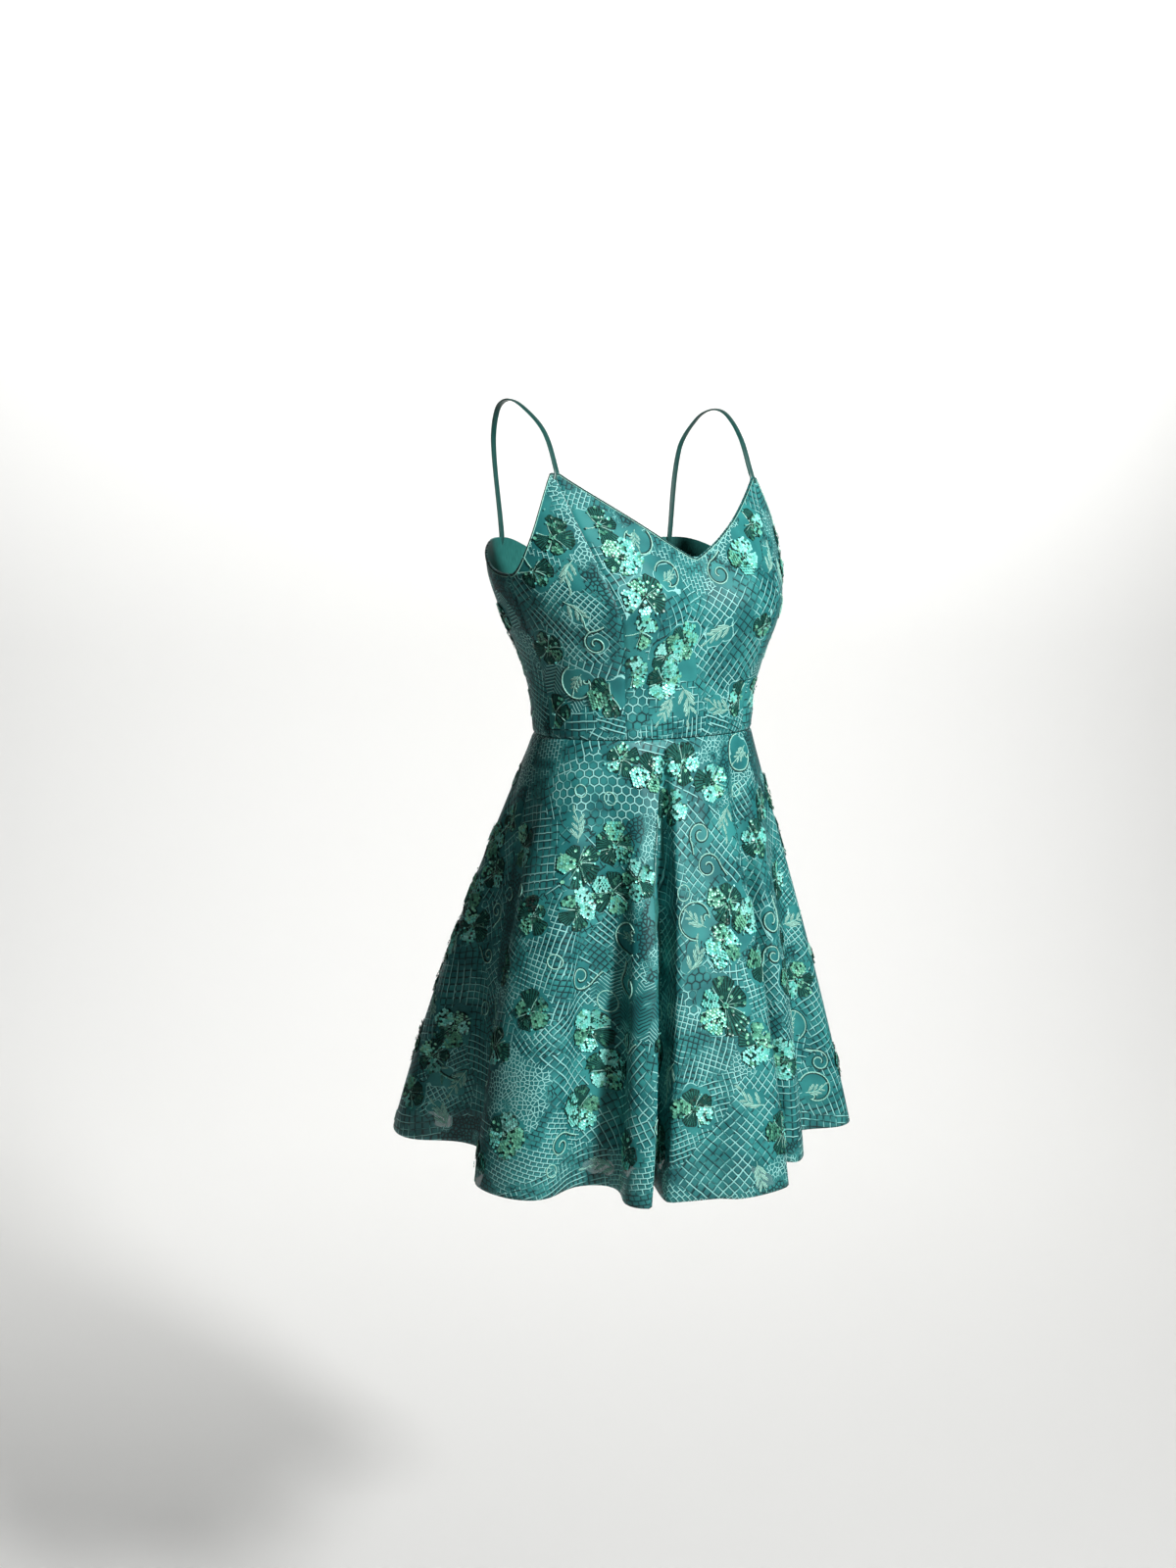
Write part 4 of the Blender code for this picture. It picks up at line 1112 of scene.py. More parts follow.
    def make_threads(self, name, light, dark):
        """All threads as one mesh of square cords, laid on the worn cloth."""
        curve = bpy.data.curves.new(name, "CURVE")
        curve.dimensions = "3D"
        curve.bevel_depth = THREAD_RADIUS
        curve.bevel_resolution = 0
        curve.use_fill_caps = True
        curve.twist_mode = "Z_UP"
        curve.materials.append(light)
        curve.materials.append(dark)
        for points, width, tone in self.threads:
            spline = curve.splines.new("POLY")
            spline.points.add(len(points) - 1)
            lift = np.full(len(points), THREAD_LIFT * THREAD_RADIUS)
            rows = np.column_stack((points, lift, np.ones(len(points))))
            spline.points.foreach_set("co", rows.ravel())
            spline.points.foreach_set("radius", np.full(len(points), width))
            spline.material_index = tone
        drawn = bpy.data.objects.new(name, curve)
        mesh = bpy.data.meshes.new_from_object(drawn)
        bpy.data.objects.remove(drawn)
        flat = np.empty(len(mesh.vertices) * 3)
        mesh.vertices.foreach_get("co", flat)
        mesh.vertices.foreach_set("co", self.cloth.lay(flat.reshape(-1, 3)).ravel())
        mesh.shade_smooth()
        return link_object(f"{name}_threads", mesh)

    def spread(self, x, y, turn, along, beside, lift):
        """Copies of a shape, drawn along and beside its own axis, at their places on the worn cloth."""
        cos, sin = np.cos(np.radians(turn)), np.sin(np.radians(turn))
        return self.cloth.lay(np.stack(
            (x + along * cos - beside * sin, y + along * sin + beside * cos, lift + 0 * along), axis=-1
        ))

    def make(self, name, light, dark, petal_stuff, sequin_stuff):
        """The embroidery as objects, laid on the worn cloth."""
        pieces = [self.make_threads(name, light, dark)]
        disc, disc_faces = disc_template(24, 0.7)
        if self.petals:
            x, y, turn, length, broad, tone, lift = np.array(self.petals).T[..., None]
            along, beside = petal_outline(disc[:, 0], disc[:, 1])
            dome = np.where(np.hypot(disc[:, 0], disc[:, 1]) < 0.9, PETAL_DOME, 0.0)
            worn = self.spread(x, y, turn, along * length, beside * length * broad, dome + lift)
            stitch = np.stack((along * length, beside * length), axis=-1)
            pieces.append(joined_mesh(f"{name}_petals", worn, disc_faces, tone.ravel(), petal_stuff, stitch))
        blade, blade_faces = disc_template(8, 0)
        if self.leaves:
            x, y, turn, length, width, tone = np.array(self.leaves).T[..., None]
            along, beside = leaf_outline(blade[:, 0], blade[:, 1])
            dome = np.where(np.hypot(blade[:, 0], blade[:, 1]) < 0.5, LEAF_DOME, 0.0)
            worn = self.spread(x, y, turn, along * length, beside * width, dome)
            stitch = np.stack((along * length, beside * width), axis=-1)
            pieces.append(joined_mesh(f"{name}_leaves", worn, blade_faces, tone.ravel(), petal_stuff, stitch))
        cup, cup_faces = disc_template(7, 0)
        if self.sequins:
            x, y, turn, radius, lean, roll, tone, lift = np.array(self.sequins).T[..., None]
            along, beside = cup[:, 0] * radius, cup[:, 1] * radius
            hollow = np.where(np.hypot(cup[:, 0], cup[:, 1]) < 0.5, -SEQUIN_CUP, 0.0) * radius
            rise = SEQUIN_LIFT + lift + hollow + along * np.sin(lean) + beside * np.sin(roll)
            worn = self.spread(x, y, turn, along, beside, rise)
            pieces.append(joined_mesh(f"{name}_sequins", worn, cup_faces, tone.ravel(), sequin_stuff))
        for piece in pieces:
            wear(piece)


# ---------------------------------------------------------------- the cloth pieces
def wear(piece, node=None):
    """Makes a piece part of the dress and in the place of a node if one is named."""
    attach(piece, "dress")
    if node:
        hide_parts(node)


def stations(length, step, ends=(True, True)):
    """Places along a length as shares of it, a step apart, and closer beside the ends that are seams."""
    first = SEAM_STEPS[-1] / length if ends[0] else 0.0
    last = 1 - SEAM_STEPS[-1] / length if ends[1] else 1.0
    count = max(1, round((last - first) * length / step))
    near = [d / length for d in SEAM_STEPS[:-1]]
    return np.concatenate((
        near if ends[0] else [],
        np.linspace(first, last, count + 1),
        [1 - d for d in reversed(near)] if ends[1] else [],
    ))


def sheet_object(name, across, down, place, flat, materials, wall, bare=None):
    """A cloth piece from a grid with the given shares across and down: place gives its worn points and flat
    its pattern, and the wall lies inside."""
    bm = bmesh.new()
    bmesh.ops.create_grid(bm, x_segments=len(across) - 1, y_segments=len(down) - 1, size=0.5)
    mesh = bpy.data.meshes.new(name)
    bm.to_mesh(mesh)
    bm.free()
    grid = np.empty(len(mesh.vertices) * 3)
    mesh.vertices.foreach_get("co", grid)
    grid = grid.reshape(-1, 3)
    s = across[np.rint((grid[:, 0] + 0.5) * (len(across) - 1)).astype(int)]
    t = down[np.rint((0.5 - grid[:, 1]) * (len(down) - 1)).astype(int)]
    worn = place(s, t)
    corner = np.empty(len(mesh.loops), int)
    mesh.loops.foreach_get("vertex_index", corner)
    pattern = np.stack(flat(s, t), axis=-1)
    mesh.vertices.foreach_set("co", np.column_stack((pattern, np.zeros(len(pattern)))).ravel())
    mesh.vertices.foreach_set("co", worn.ravel())
    cloth_map = mesh.uv_layers.new(name="Cloth")
    cloth_map.data.foreach_set("uv", pattern[corner].ravel())
    if bare is not None:
        mesh.attributes.new("bare", "FLOAT", "POINT").data.foreach_set("value", bare(pattern))
    mesh.shade_smooth()
    for material in materials:
        mesh.materials.append(material)
    piece = link_object(name, mesh)
    if wall:
        solid = piece.modifiers.new("Wall", "SOLIDIFY")
        solid.thickness = wall
        solid.offset = -1
        solid.material_offset = len(materials) - 1
    return piece


def princess_angle(drop):
    return smooth_value(PRINCESS_DROP, PRINCESS_ANGLE, drop)


def right_princess_angle(drop):
    return -princess_angle(drop)


def side_angle(drop):
    return np.full_like(drop, SIDE_ANGLE)


def centre_back(drop):
    return np.full_like(drop, 180.0)


def neckline_drop(across):
    """The centre front panel's top edge: flat strap corners and the two sides of the V, bowed up a little."""
    land = STRAP_LAND_ANGLE / princess_angle(STRAP_POINT_DROP)
    share = np.minimum(1.0, np.abs(2 * across - 1) / (1 - land))
    return mix(NECK_DROP, STRAP_POINT_DROP, share) - NECK_BOW * np.sin(math.pi * share)


def armhole_drop(across):
    """The side front's top edge, from the strap corner down to the underarm."""
    land = STRAP_LAND_ANGLE / (SIDE_ANGLE - princess_angle(STRAP_POINT_DROP))
    share = np.maximum(0.0, (across - land) / (1 - land))
    return mix(STRAP_POINT_DROP, UNDERARM_DROP, np.sin(share * math.pi / 2) ** ARMHOLE_SCOOP)


def back_edge_drop(across):
    """The back's top edge, from the underarm up to the strap corner and down to the zip."""
    corner = (BACK_CORNER_ANGLE - SIDE_ANGLE) / (180.0 - SIDE_ANGLE)
    land = STRAP_LAND_ANGLE / (180.0 - SIDE_ANGLE)
    rising = mix(UNDERARM_DROP, BACK_CORNER_DROP, eased(np.clip(across / (corner - land), 0, 1)))
    fallen = np.clip((across - corner - land) / (1 - corner - land), 0, 1)
    return np.where(across < corner, rising, mix(BACK_CORNER_DROP, BACK_DIP_DROP, eased(fallen)))


def bodice_cloth(start_angle, end_angle, side, creases):
    """A bodice panel's cloth between two seams given as angles by drop, mirrored on the wearer's right."""
    drops = np.linspace(BODICE_CLOTH_TOP, WAIST_DROP, BODICE_GRID[0])
    start, end = start_angle(drops), end_angle(drops)
    if side < 0:
        start, end = -end, -start
    return BodiceCloth(figure_points, start, end, drops, BODICE_GRID[1], creases)


def bodice_shares(cloth, start_angle, end_angle, top_drop, side):
    """The function that turns shares across and down a bodice panel, cut to its top edge, into shares of
    its cloth."""
    def shares(s, t):
        across = s if side > 0 else 1 - s
        drop = mix(top_drop(across), WAIST_DROP - SEAM_GAP / 2, t)
        start = start_angle(mix(top_drop(np.zeros_like(t)), WAIST_DROP, t))
        end = end_angle(mix(top_drop(np.ones_like(t)), WAIST_DROP, t))
        return cloth.at(side * mix(start, end, across), drop)

    return shares


def skirt_cloth(first, last, creases):
    """A skirt panel's cloth from one row of FOLDS to another."""
    falls = np.linspace(0, 1, SKIRT_ROWS)
    columns = FRONT_COLUMNS if first == RIGHT_SIDE_FOLD else BACK_COLUMNS
    ends = np.full_like(falls, first), np.full_like(falls, last)
    return SkirtCloth(skirt_points, *ends, falls, columns, creases)


def skirt_shares(cloth, slits):
    """The function that does so for a skirt panel. slits gives how far its two edges stay from their seams,
    by share down."""
    def shares(s, t):
        left, right = (slit(t) / mix(*cloth.widths[[0, -1]], t) for slit in slits)
        return mix(left, 1 - right, s), np.maximum(t, SEAM_GAP / 2 / SKIRT_DROP)

    return shares


def cloth_panel(name, cloth, shares, across, down, inset, materials, wall, bare):
    """A piece of a panel's cloth, whose outer face lies inset inside the cloth's own."""
    def place(s, t):
        x, y = cloth.flat(*shares(s, t))
        return cloth.lay(np.stack((x, y, np.full_like(x, -inset)), axis=-1))

    def flat(s, t):
        return cloth.flat(*shares(s, t))

    return sheet_object(name, across, down, place, flat, materials, wall, bare)


def seam_slit(t):
    return np.zeros_like(t)


def zip_slit(t):
    """The lining is sewn back from the zip, and closes below it."""
    below = np.clip((t - ZIP_SLIT_BELOW_WAIST / SKIRT_DROP) / ZIP_SLIT_CLOSING, 0, 1)
    return mix(ZIP_SLIT, SEAM_GAP / 2, below)


# ---------------------------------------------------------------- straps and zip
STRAP_TUCK = 0.007  # how far a strap's ends reach down behind the corners that they are sewn to
STRAP_TUCK_INSETS = (0.0016, 0.0030)  # how far inside the bodice they lie, at their ends and at its edge
STRAP_END_SHARE = 0.25  # how flat the ends are pressed
STRAP_CORNERS_AHEAD = 0.040  # the centre that the corners look away from
STRAP_STRIP = 0.0145  # the width of the strip that a strap is folded from
STRAP_ROLLS = ((9, 0.055, 0.0), (5, 0.021, 1.0))  # its slow rolls: degrees, length and start
STRAP_FLATNESS = (0.6, 0.8)  # how square the folded strip is, across and through
STRAP_ROWS = 70
STRAP_SIDES = 16
TAPE_ROWS = 80
TAPE_COLUMNS = 5
TEETH_START = 0.010  # how far the teeth start below the tape's top, and end above its foot
TEETH_END = 0.004
TOOTH_PITCH = 0.0016
TOOTH_HALF = (0.0015, 0.0005, 0.0004)
TOOTH_FROM_MIDDLE = 0.0010


def strap_tube(side):
    """The points of a strap's folded satin, row by row round it, from behind the front corner of the bodice
    over the shoulder to behind the back corner. Its edges roll a little on the way."""
    def behind(angle, drop, inset):
        point = figure_points(angle, drop)
        outward = (point + (0.0, STRAP_CORNERS_AHEAD, 0.0)) * (1, 1, 0)
        return point - unit(outward) * inset

    front = float(princess_angle(STRAP_POINT_DROP))
    at_end, at_edge = STRAP_TUCK_INSETS
    route = np.array((
        behind(front, STRAP_POINT_DROP + STRAP_TUCK, at_end),
        behind(front, STRAP_POINT_DROP, at_edge),
        *STRAP_ROUTE,
        behind(BACK_CORNER_ANGLE, BACK_CORNER_DROP, at_edge),
        behind(BACK_CORNER_ANGLE, BACK_CORNER_DROP + STRAP_TUCK, at_end),
    ))
    lengths = lengths_along(route)
    along = np.linspace(0, lengths[-1], STRAP_ROWS)
    line = np.stack([smooth_value(lengths, axis, along) for axis in route.T], axis=-1)
    ahead = unit(np.gradient(line, axis=0))
    level = unit(np.array((1.0, 0.0, 0.0)) - ahead * ahead[:, :1])
    up = np.cross(level, ahead)
    roll = sum(degrees * np.sin(along / length + start) for degrees, length, start in STRAP_ROLLS)
    roll = np.radians(roll)[:, None, None]
    turn = np.linspace(0, 2 * math.pi, STRAP_SIDES + 1)
    half = STRAP_WIDTH / 2 * np.sign(np.cos(turn)) * np.abs(np.cos(turn)) ** STRAP_FLATNESS[0]
    thick = STRAP_WALL / 2 * np.sign(np.sin(turn)) * np.abs(np.sin(turn)) ** STRAP_FLATNESS[1]
    from_end = np.minimum(along, along[-1] - along)
    thinned = np.interp(from_end, (0.0, STRAP_TUCK), (STRAP_END_SHARE, 1.0))[:, None, None]
    half, thick = half[None, :, None], thick[None, :, None] * thinned
    across = level[:, None] * np.cos(roll) + up[:, None] * np.sin(roll)
    over = up[:, None] * np.cos(roll) - level[:, None] * np.sin(roll)
    points = line[:, None] + up[:, None] * STRAP_WALL / 2 * thinned + across * half + over * thick
    return points * np.array((side, 1, 1)), along


def make_strap(name, side, ribbon):
    """A spaghetti strap: a strip of satin folded to a flat tube, whose ends are sewn in behind the bodice."""
    points, along = strap_tube(side)
    round_it = lengths_along(points[STRAP_ROWS // 2])[-1]
    across, down = np.linspace(0, 1, STRAP_SIDES + 1), np.linspace(0, 1, STRAP_ROWS)

    def place(s, t):
        row = np.rint(t * (STRAP_ROWS - 1)).astype(int)
        column = np.rint(s * STRAP_SIDES).astype(int)
        return points[row, column if side < 0 else STRAP_SIDES - column]

    def flat(s, t):
        return round_it * s, along[-1] * t

    piece = sheet_object(name, across, down, place, flat, (ribbon,), 0.0)
    wear(piece, name.removesuffix("_satin"))


def make_zip(word, side, bodice, skirt, tape, coil):
    """Half of the zip: its woven tape inside the backs, and its row of nylon teeth down the middle."""
    top = BACK_DIP_DROP + ZIP_BELOW_NECK
    start = float(bodice.flat(*bodice.at(np.array(180.0 * side), np.array(top)))[1])

    def lay(away, height, lift):
        """Places given from the centre back and up from the waist seam, on the worn cloth of the backs."""
        rows = np.interp(height, bodice.heights[::-1], np.linspace(1, 0, len(bodice.down)))
        width = np.interp(rows, np.linspace(0, 1, len(bodice.down)), bodice.widths)
        above = bodice.lay(np.stack((side * (width / 2 - away), np.maximum(height, 0.0), lift), axis=-1))
        fallen = np.maximum(-height, 0.0) / skirt.length
        breadth = skirt.widths[0] + (skirt.widths[-1] - skirt.widths[0]) * fallen
        x, y = skirt.flat(0.5 + side * (0.5 - away / breadth), fallen)
        below = skirt.lay(np.stack((x, y, lift), axis=-1))
        return np.where((height > 0)[:, None], above, below)

    def height_at(t):
        return mix(start, -ZIP_BELOW_WAIST, t)

    def place(s, t):
        away = ZIP_WIDTH / 2 * (1 - s if side > 0 else s)
        return lay(away, height_at(t), np.full_like(s, -ZIP_INSET))

    def flat(s, t):
        return ZIP_WIDTH / 2 * s, height_at(t)

    across, down = np.linspace(0, 1, TAPE_COLUMNS + 1), np.linspace(0, 1, TAPE_ROWS + 1)
    piece = sheet_object(f"zip_tape_{word}", across, down, place, flat, (tape,), ZIP_WALL)
    wear(piece, "zip_tape")

    bm = bmesh.new()
    bmesh.ops.create_uvsphere(bm, u_segments=8, v_segments=5, radius=1.0)
    ball = np.array([vertex.co for vertex in bm.verts]) * TOOTH_HALF
    faces = [[vertex.index for vertex in face.verts] for face in bm.faces]
    bm.free()
    heights = np.arange(start - TEETH_START, TEETH_END - ZIP_BELOW_WAIST, -TOOTH_PITCH)
    heights -= TOOTH_PITCH / 4 * side
    shape = ball[None] + np.zeros((len(heights), 1, 1))
    away = (shape[..., 0] + TOOTH_FROM_MIDDLE).ravel()
    height = (shape[..., 1] + heights[:, None]).ravel()
    lift = (shape[..., 2] - ZIP_INSET - ZIP_WALL - TOOTH_HALF[2]).ravel()
    worn = lay(away, height, lift).reshape(shape.shape)
    teeth = joined_mesh(f"zip_teeth_{word}", worn, faces, np.full(len(heights), 0.5), coil)
    wear(teeth)


# ---------------------------------------------------------------- room, light and camera
FLOOR_Z = -1.70
SWEEP_RADIUS = 1.2
SWEEP_BEHIND = 2.6
SWEEP_HALF_WIDTH = 2.6
SWEEP_AHEAD = 5.0
SWEEP_HEIGHT = 4.5
SWEEP_STEPS = 12

CAMERA_AZIMUTH = 34.0  # degrees from the dress's front, to the wearer's right
CAMERA_DISTANCE = 1.85  # level, from the dress's origin
CAMERA_HEIGHT = -0.125
CAMERA_ASIDE = 0.0268
CAMERA_TILT = 8.27  # degrees down
CAMERA_LENS = 40.39

DRESS_MIDDLE = (0, 0, -0.40)


def make_room():
    """A seamless pale backdrop, which runs from the floor up behind the dress as the camera sees it."""
    bm = bmesh.new()
    turn = math.radians(CAMERA_AZIMUTH)
    profile = [Vector((0, -SWEEP_AHEAD, FLOOR_Z)), Vector((0, SWEEP_BEHIND, FLOOR_Z))]
    for step in range(1, SWEEP_STEPS + 1):
        angle = math.radians(90 * step / SWEEP_STEPS)
        behind = SWEEP_BEHIND + SWEEP_RADIUS * math.sin(angle)
        profile.append(Vector((0, behind, FLOOR_Z + SWEEP_RADIUS * (1 - math.cos(angle)))))
    profile.append(Vector((0, SWEEP_BEHIND + SWEEP_RADIUS, SWEEP_HEIGHT)))
    corners = [bm.verts.new(point + Vector((-SWEEP_HALF_WIDTH, 0, 0))) for point in profile]
    edges = [bm.edges.new(pair) for pair in zip(corners, corners[1:])]
    swept = bmesh.ops.extrude_edge_only(bm, edges=edges)
    moved = [part for part in swept["geom"] if isinstance(part, bmesh.types.BMVert)]
    bmesh.ops.translate(bm, verts=moved, vec=(2 * SWEEP_HALF_WIDTH, 0, 0))
    bmesh.ops.rotate(bm, verts=bm.verts[:], matrix=Matrix.Rotation(-turn, 3, "Z"))
    # The sweep is open, so its faces may come out either way round.
    bmesh.ops.recalc_face_normals(bm, faces=bm.faces[:])
    if bm.faces[:][0].calc_center_median().z < 0 and bm.faces[:][0].normal.z < 0:
        bmesh.ops.reverse_faces(bm, faces=bm.faces[:])
    mesh = bpy.data.meshes.new("studio_floor")
    bm.to_mesh(mesh)
    bm.free()
    mesh.shade_smooth()
    paper, _, _ = new_material("matt white paper", Base_Color=linear("#f1f1ef"), Roughness=0.95)
    mesh.materials.append(paper)
    link_object("studio_floor", mesh)


def make_camera():
    """A standing viewer's eye, to the wearer's right of the dress, that looks a little down."""
    turn = math.radians(CAMERA_AZIMUTH)
    look = Vector((math.sin(turn), math.cos(turn), 0))
    right = Vector((math.cos(turn), -math.sin(turn), 0))
    camera = bpy.data.cameras.new("camera")
    camera.lens = CAMERA_LENS
    view = link_object("camera", camera)
    view.location = -look * CAMERA_DISTANCE - right * CAMERA_ASIDE + Vector((0, 0, CAMERA_HEIGHT))
    view.rotation_euler = (math.radians(90 - CAMERA_TILT), 0, -turn)
    bpy.context.scene.camera = view


def area_light(name, azimuth, height, distance, size, power, aim):
    """A round soft box of white light. Its azimuth is in degrees from the dress's front, positive to the
    wearer's left, its size in metres and its power in watts."""
    turn = math.radians(azimuth)
    light = bpy.data.lights.new(name, "AREA")
    light.shape = "DISK"
    light.size = size
    light.energy = power
    box = link_object(name, light)
    box.location = (distance * math.sin(turn), -distance * math.cos(turn), height)
    box.rotation_euler = (Vector(aim) - box.location).to_track_quat("-Z", "Y").to_euler()


ROOM_GLOW = 0.03  # how strongly the room lights the dress, and how bright the camera sees it
ROOM_SEEN = 0.9


def make_light():
    """One key light from the front, two on the backdrop, and a room that is pale to the eye and all but
    dark to the cloth, so that the folds keep their depth."""
    area_light("key softbox", 4, 1.05, 2.4, 0.40, 100, DRESS_MIDDLE)
    area_light("backdrop light left", 120, 1.6, 2.6, 1.2, 54, (2.2, 3.0, 0.0))
    area_light("backdrop light right", 195, 1.6, 2.4, 1.2, 54, (1.0, 3.6, 0.0))
    world = bpy.data.worlds.new("studio")
    bpy.context.scene.world = world
    world.use_nodes = True
    background = world.node_tree.nodes["Background"]
    background.inputs["Color"].default_value = linear("#e4e6e8")
    seen = add(world.node_tree, "LightPath").outputs["Is Camera Ray"]
    strength = add(world.node_tree, "Mix", {0: seen, 2: ROOM_GLOW, 3: ROOM_SEEN})
    world.node_tree.links.new(strength.outputs[0], background.inputs["Strength"])


# ---------------------------------------------------------------- what is stitched where
# Each motif: its kind, its share across the panel, its height from the waist seam in millimetres, its turn in
# degrees and its size in millimetres, with its style: a flower's petals by their kind, bright ones with a
# painted glint on their sequins and dark ones with painted shade, the number of a garland's flowers, or the
# hand of a scroll.
MOTIFS = {
    "bodice_front": (
        ("flower", 0.08, 214, 10, 42, "DDMDD"),
        ("flower", 0.12, 181, 65, 38, "BMDBB"),
        ("comma", 0.22, 199, 205, 34, 1),
        ("comma", 0.31, 163, 335, 32, 1),
        ("flower", 0.14, 142, 50, 44, "DMBBD"),
        ("flower", 0.09, 108, 20, 40, "BBMBM"),
        ("flower", 0.37, 99, 70, 36, "MDBMM"),
        ("flower", 0.26, 84, 5, 38, "BMBDB"),
        ("flower", 0.25, 58, 20, 40, "MBDBB"),
        ("flower", 0.05, 68, 20, 34, "BBMBM"),
        ("sprig", 0.41, 34, 285, 38, 0),
        ("sprig", 0.27, 30, 240, 30, 0),
        ("curl", 0.61, 164, 120, 30, 1),
        ("flower", 0.87, 217, 15, 40, "BDBDM"),
        ("flower", 0.76, 182, 50, 38, "BBMBB"),
        ("sprig", 0.94, 178, 60, 34, 0),
        ("flower", 0.90, 110, 30, 30, "DODDM"),
        ("sprig", 0.72, 30, 160, 34, 0),
        ("flower", 0.90, 36, 30, 36, "MDBDM"),
    ),
    "skirt_front": (
        ("flower", 0.28, -18, 10, 38, "DMDBD"),
        ("flower", 0.36, -34, 40, 42, "BDBMD"),
        ("flower", 0.46, -24, 70, 44, "DDBDB"),
        ("flower", 0.55, -46, 25, 42, "MBDBM"),
        ("flower", 0.43, -68, 55, 40, "BMDDB"),
        ("sprig", 0.58, -86, 250, 34, 0),
        ("flower", 0.75, -78, 10, 42, "MDBDM"),
        ("flower", 0.70, -112, 10, 40, "BDBDD"),
        ("sprig", 0.175, -86, 100, 32, 0),
        ("flower", 0.185, -122, 40, 46, "DDMDD"),
        ("flower", 0.255, -104, 20, 46, "DMDDB"),
        ("flower", 0.245, -150, 0, 48, "DDBDM"),
        ("flower", 0.295, -136, 30, 38, "BBMBD"),
        ("flower", 0.185, -168, 65, 40, "BMDDB"),
        ("comma", 0.27, -194, 110, 36, 1),
        ("curl", 0.505, -96, 200, 26, -1),
        ("curl", 0.515, -128, 20, 30, 1),
        ("comma", 0.485, -178, 80, 42, 1),
        ("flower", 0.545, -164, 20, 44, "DDMDD"),
        ("flower", 0.575, -182, 60, 42, "BBMBB"),
        ("flower", 0.525, -206, 30, 44, "BMBBM"),
        ("flower", 0.585, -232, 80, 40, "BMDDB"),
        ("sprig", 0.475, -214, 70, 34, 0),
        ("flower", 0.115, -176, 30, 40, "DODMD"),
        ("flower", 0.135, -268, 30, 42, "MDMDM"),
        ("curl", 0.20, -236, 330, 28, -1),
        ("curl", 0.27, -242, 150, 30, 1),
        ("ring", 0.235, -262, 0, 22, 0),
        ("flower", 0.515, -264, 15, 58, "DDBMD"),
        ("flower", 0.55, -306, 80, 44, "MDBBM"),
        ("sprig", 0.60, -310, 20, 36, 0),
        ("flower", 0.215, -292, 50, 46, "BBMBD"),
        ("flower", 0.235, -332, 10, 46, "BBDBM"),
        ("flower", 0.205, -370, 10, 44, "MDBBB"),
        ("flower", 0.33, -300, 10, 42, "DDODM"),
        ("curl", 0.335, -344, 90, 30, -1),
        ("sprig", 0.44, -336, 250, 40, 0),
        ("flower", 0.47, -362, 30, 44, "DDMDB"),
        ("flower", 0.76, -222, 20, 42, "DMDBD"),
        ("curl", 0.71, -196, 30, 32, -1),
        ("flower", 0.73, -262, 20, 40, "DDMDD"),
        ("flower", 0.70, -344, 40, 44, "BBMBD"),
        ("flower", 0.62, -372, 40, 44, "BMDBB"),
        ("flower", 0.565, -398, 25, 44, "BDMDB"),
        ("comma", 0.80, -330, 120, 38, -1),
        ("flower", 0.87, -384, 10, 44, "BMBDB"),
        ("curl", 0.18, -404, 60, 28, 1),
        ("flower", 0.27, -404, 0, 42, "DDDMB"),
        ("flower", 0.12, -392, 0, 44, "MBDBM"),
        ("flower", 0.34, -396, 40, 42, "DMDDB"),
        ("flower", 0.75, -408, 25, 42, "MDBDM"),
    ),
    "bodice_side_front_right": (
        ("flower", 0.45, 236, 20, 40, "DDODD"),
        ("flower", 0.64, 206, 60, 42, "ODDMD"),
        ("flower", 0.34, 172, 10, 40, "DDODM"),
        ("sprig", 0.70, 168, 250, 32, 0),
        ("sprig", 0.60, 128, 300, 30, 0),
        ("curl", 0.74, 98, 100, 26, 1),
        ("flower", 0.22, 92, 40, 38, "DODDM"),
        ("flower", 0.84, 44, 55, 40, "DDMOD"),
        ("comma", 0.48, 56, 300, 36, -1),
        ("flower", 0.14, 26, 10, 36, "ODDMD"),
    ),
    "bodice_side_front_left": (
        ("garland", 0.48, 206, -62, 36, 3),
        ("curl", 0.22, 128, 80, 24, -1),
        ("sprig", 0.20, 170, 290, 28, 0),
        ("flower", 0.78, 60, 10, 34, "ODDMD"),
        ("flower", 0.22, 40, 55, 36, "DMDBD"),
        ("comma", 0.50, 84, 300, 30, 1),
    ),
    "bodice_back_left": (
        ("garland", 0.56, 178, -100, 38, 4),
        ("garland", 0.20, 120, -75, 36, 2),
        ("curl", 0.80, 60, 100, 26, 1),
        ("sprig", 0.86, 120, 250, 30, 0),
        ("comma", 0.24, 30, 40, 32, -1),
    ),
    "bodice_back_right": (
        ("garland", 0.44, 178, -80, 38, 4),
        ("garland", 0.78, 122, -105, 36, 2),
        ("curl", 0.20, 56, 60, 26, -1),
        ("sprig", 0.14, 118, 290, 30, 0),
        ("comma", 0.74, 32, 140, 32, 1),
    ),
    "skirt_back_right": (
        ("garland", 0.30, -14, -100, 42, 4),
        ("garland", 0.93, -90, -102, 42, 5),
        ("garland", 0.62, -180, -70, 44, 4),
        ("garland", 0.18, -240, -100, 44, 4),
        ("comma", 0.56, -84, 30, 38, 1),
        ("curl", 0.74, -50, 120, 28, -1),
        ("curl", 0.42, -330, 200, 30, 1),
        ("garland", 0.84, -330, -80, 44, 2),
    ),
    "skirt_back_left": (
        ("garland", 0.68, -14, -80, 42, 4),
        ("garland", 0.10, -90, -78, 42, 5),
        ("garland", 0.38, -170, -110, 44, 4),
        ("garland", 0.82, -236, -80, 44, 4),
        ("comma", 0.44, -84, 150, 38, -1),
        ("curl", 0.26, -52, 60, 28, 1),
        ("curl", 0.60, -330, 340, 30, -1),
        ("garland", 0.17, -330, -100, 44, 2),
    ),
}

# The flowers of garlands and free places take one of these.
FLOWER_GLINT_ORDERS = ("DMDBD", "BMBDM", "DDMDB", "MBMDB")

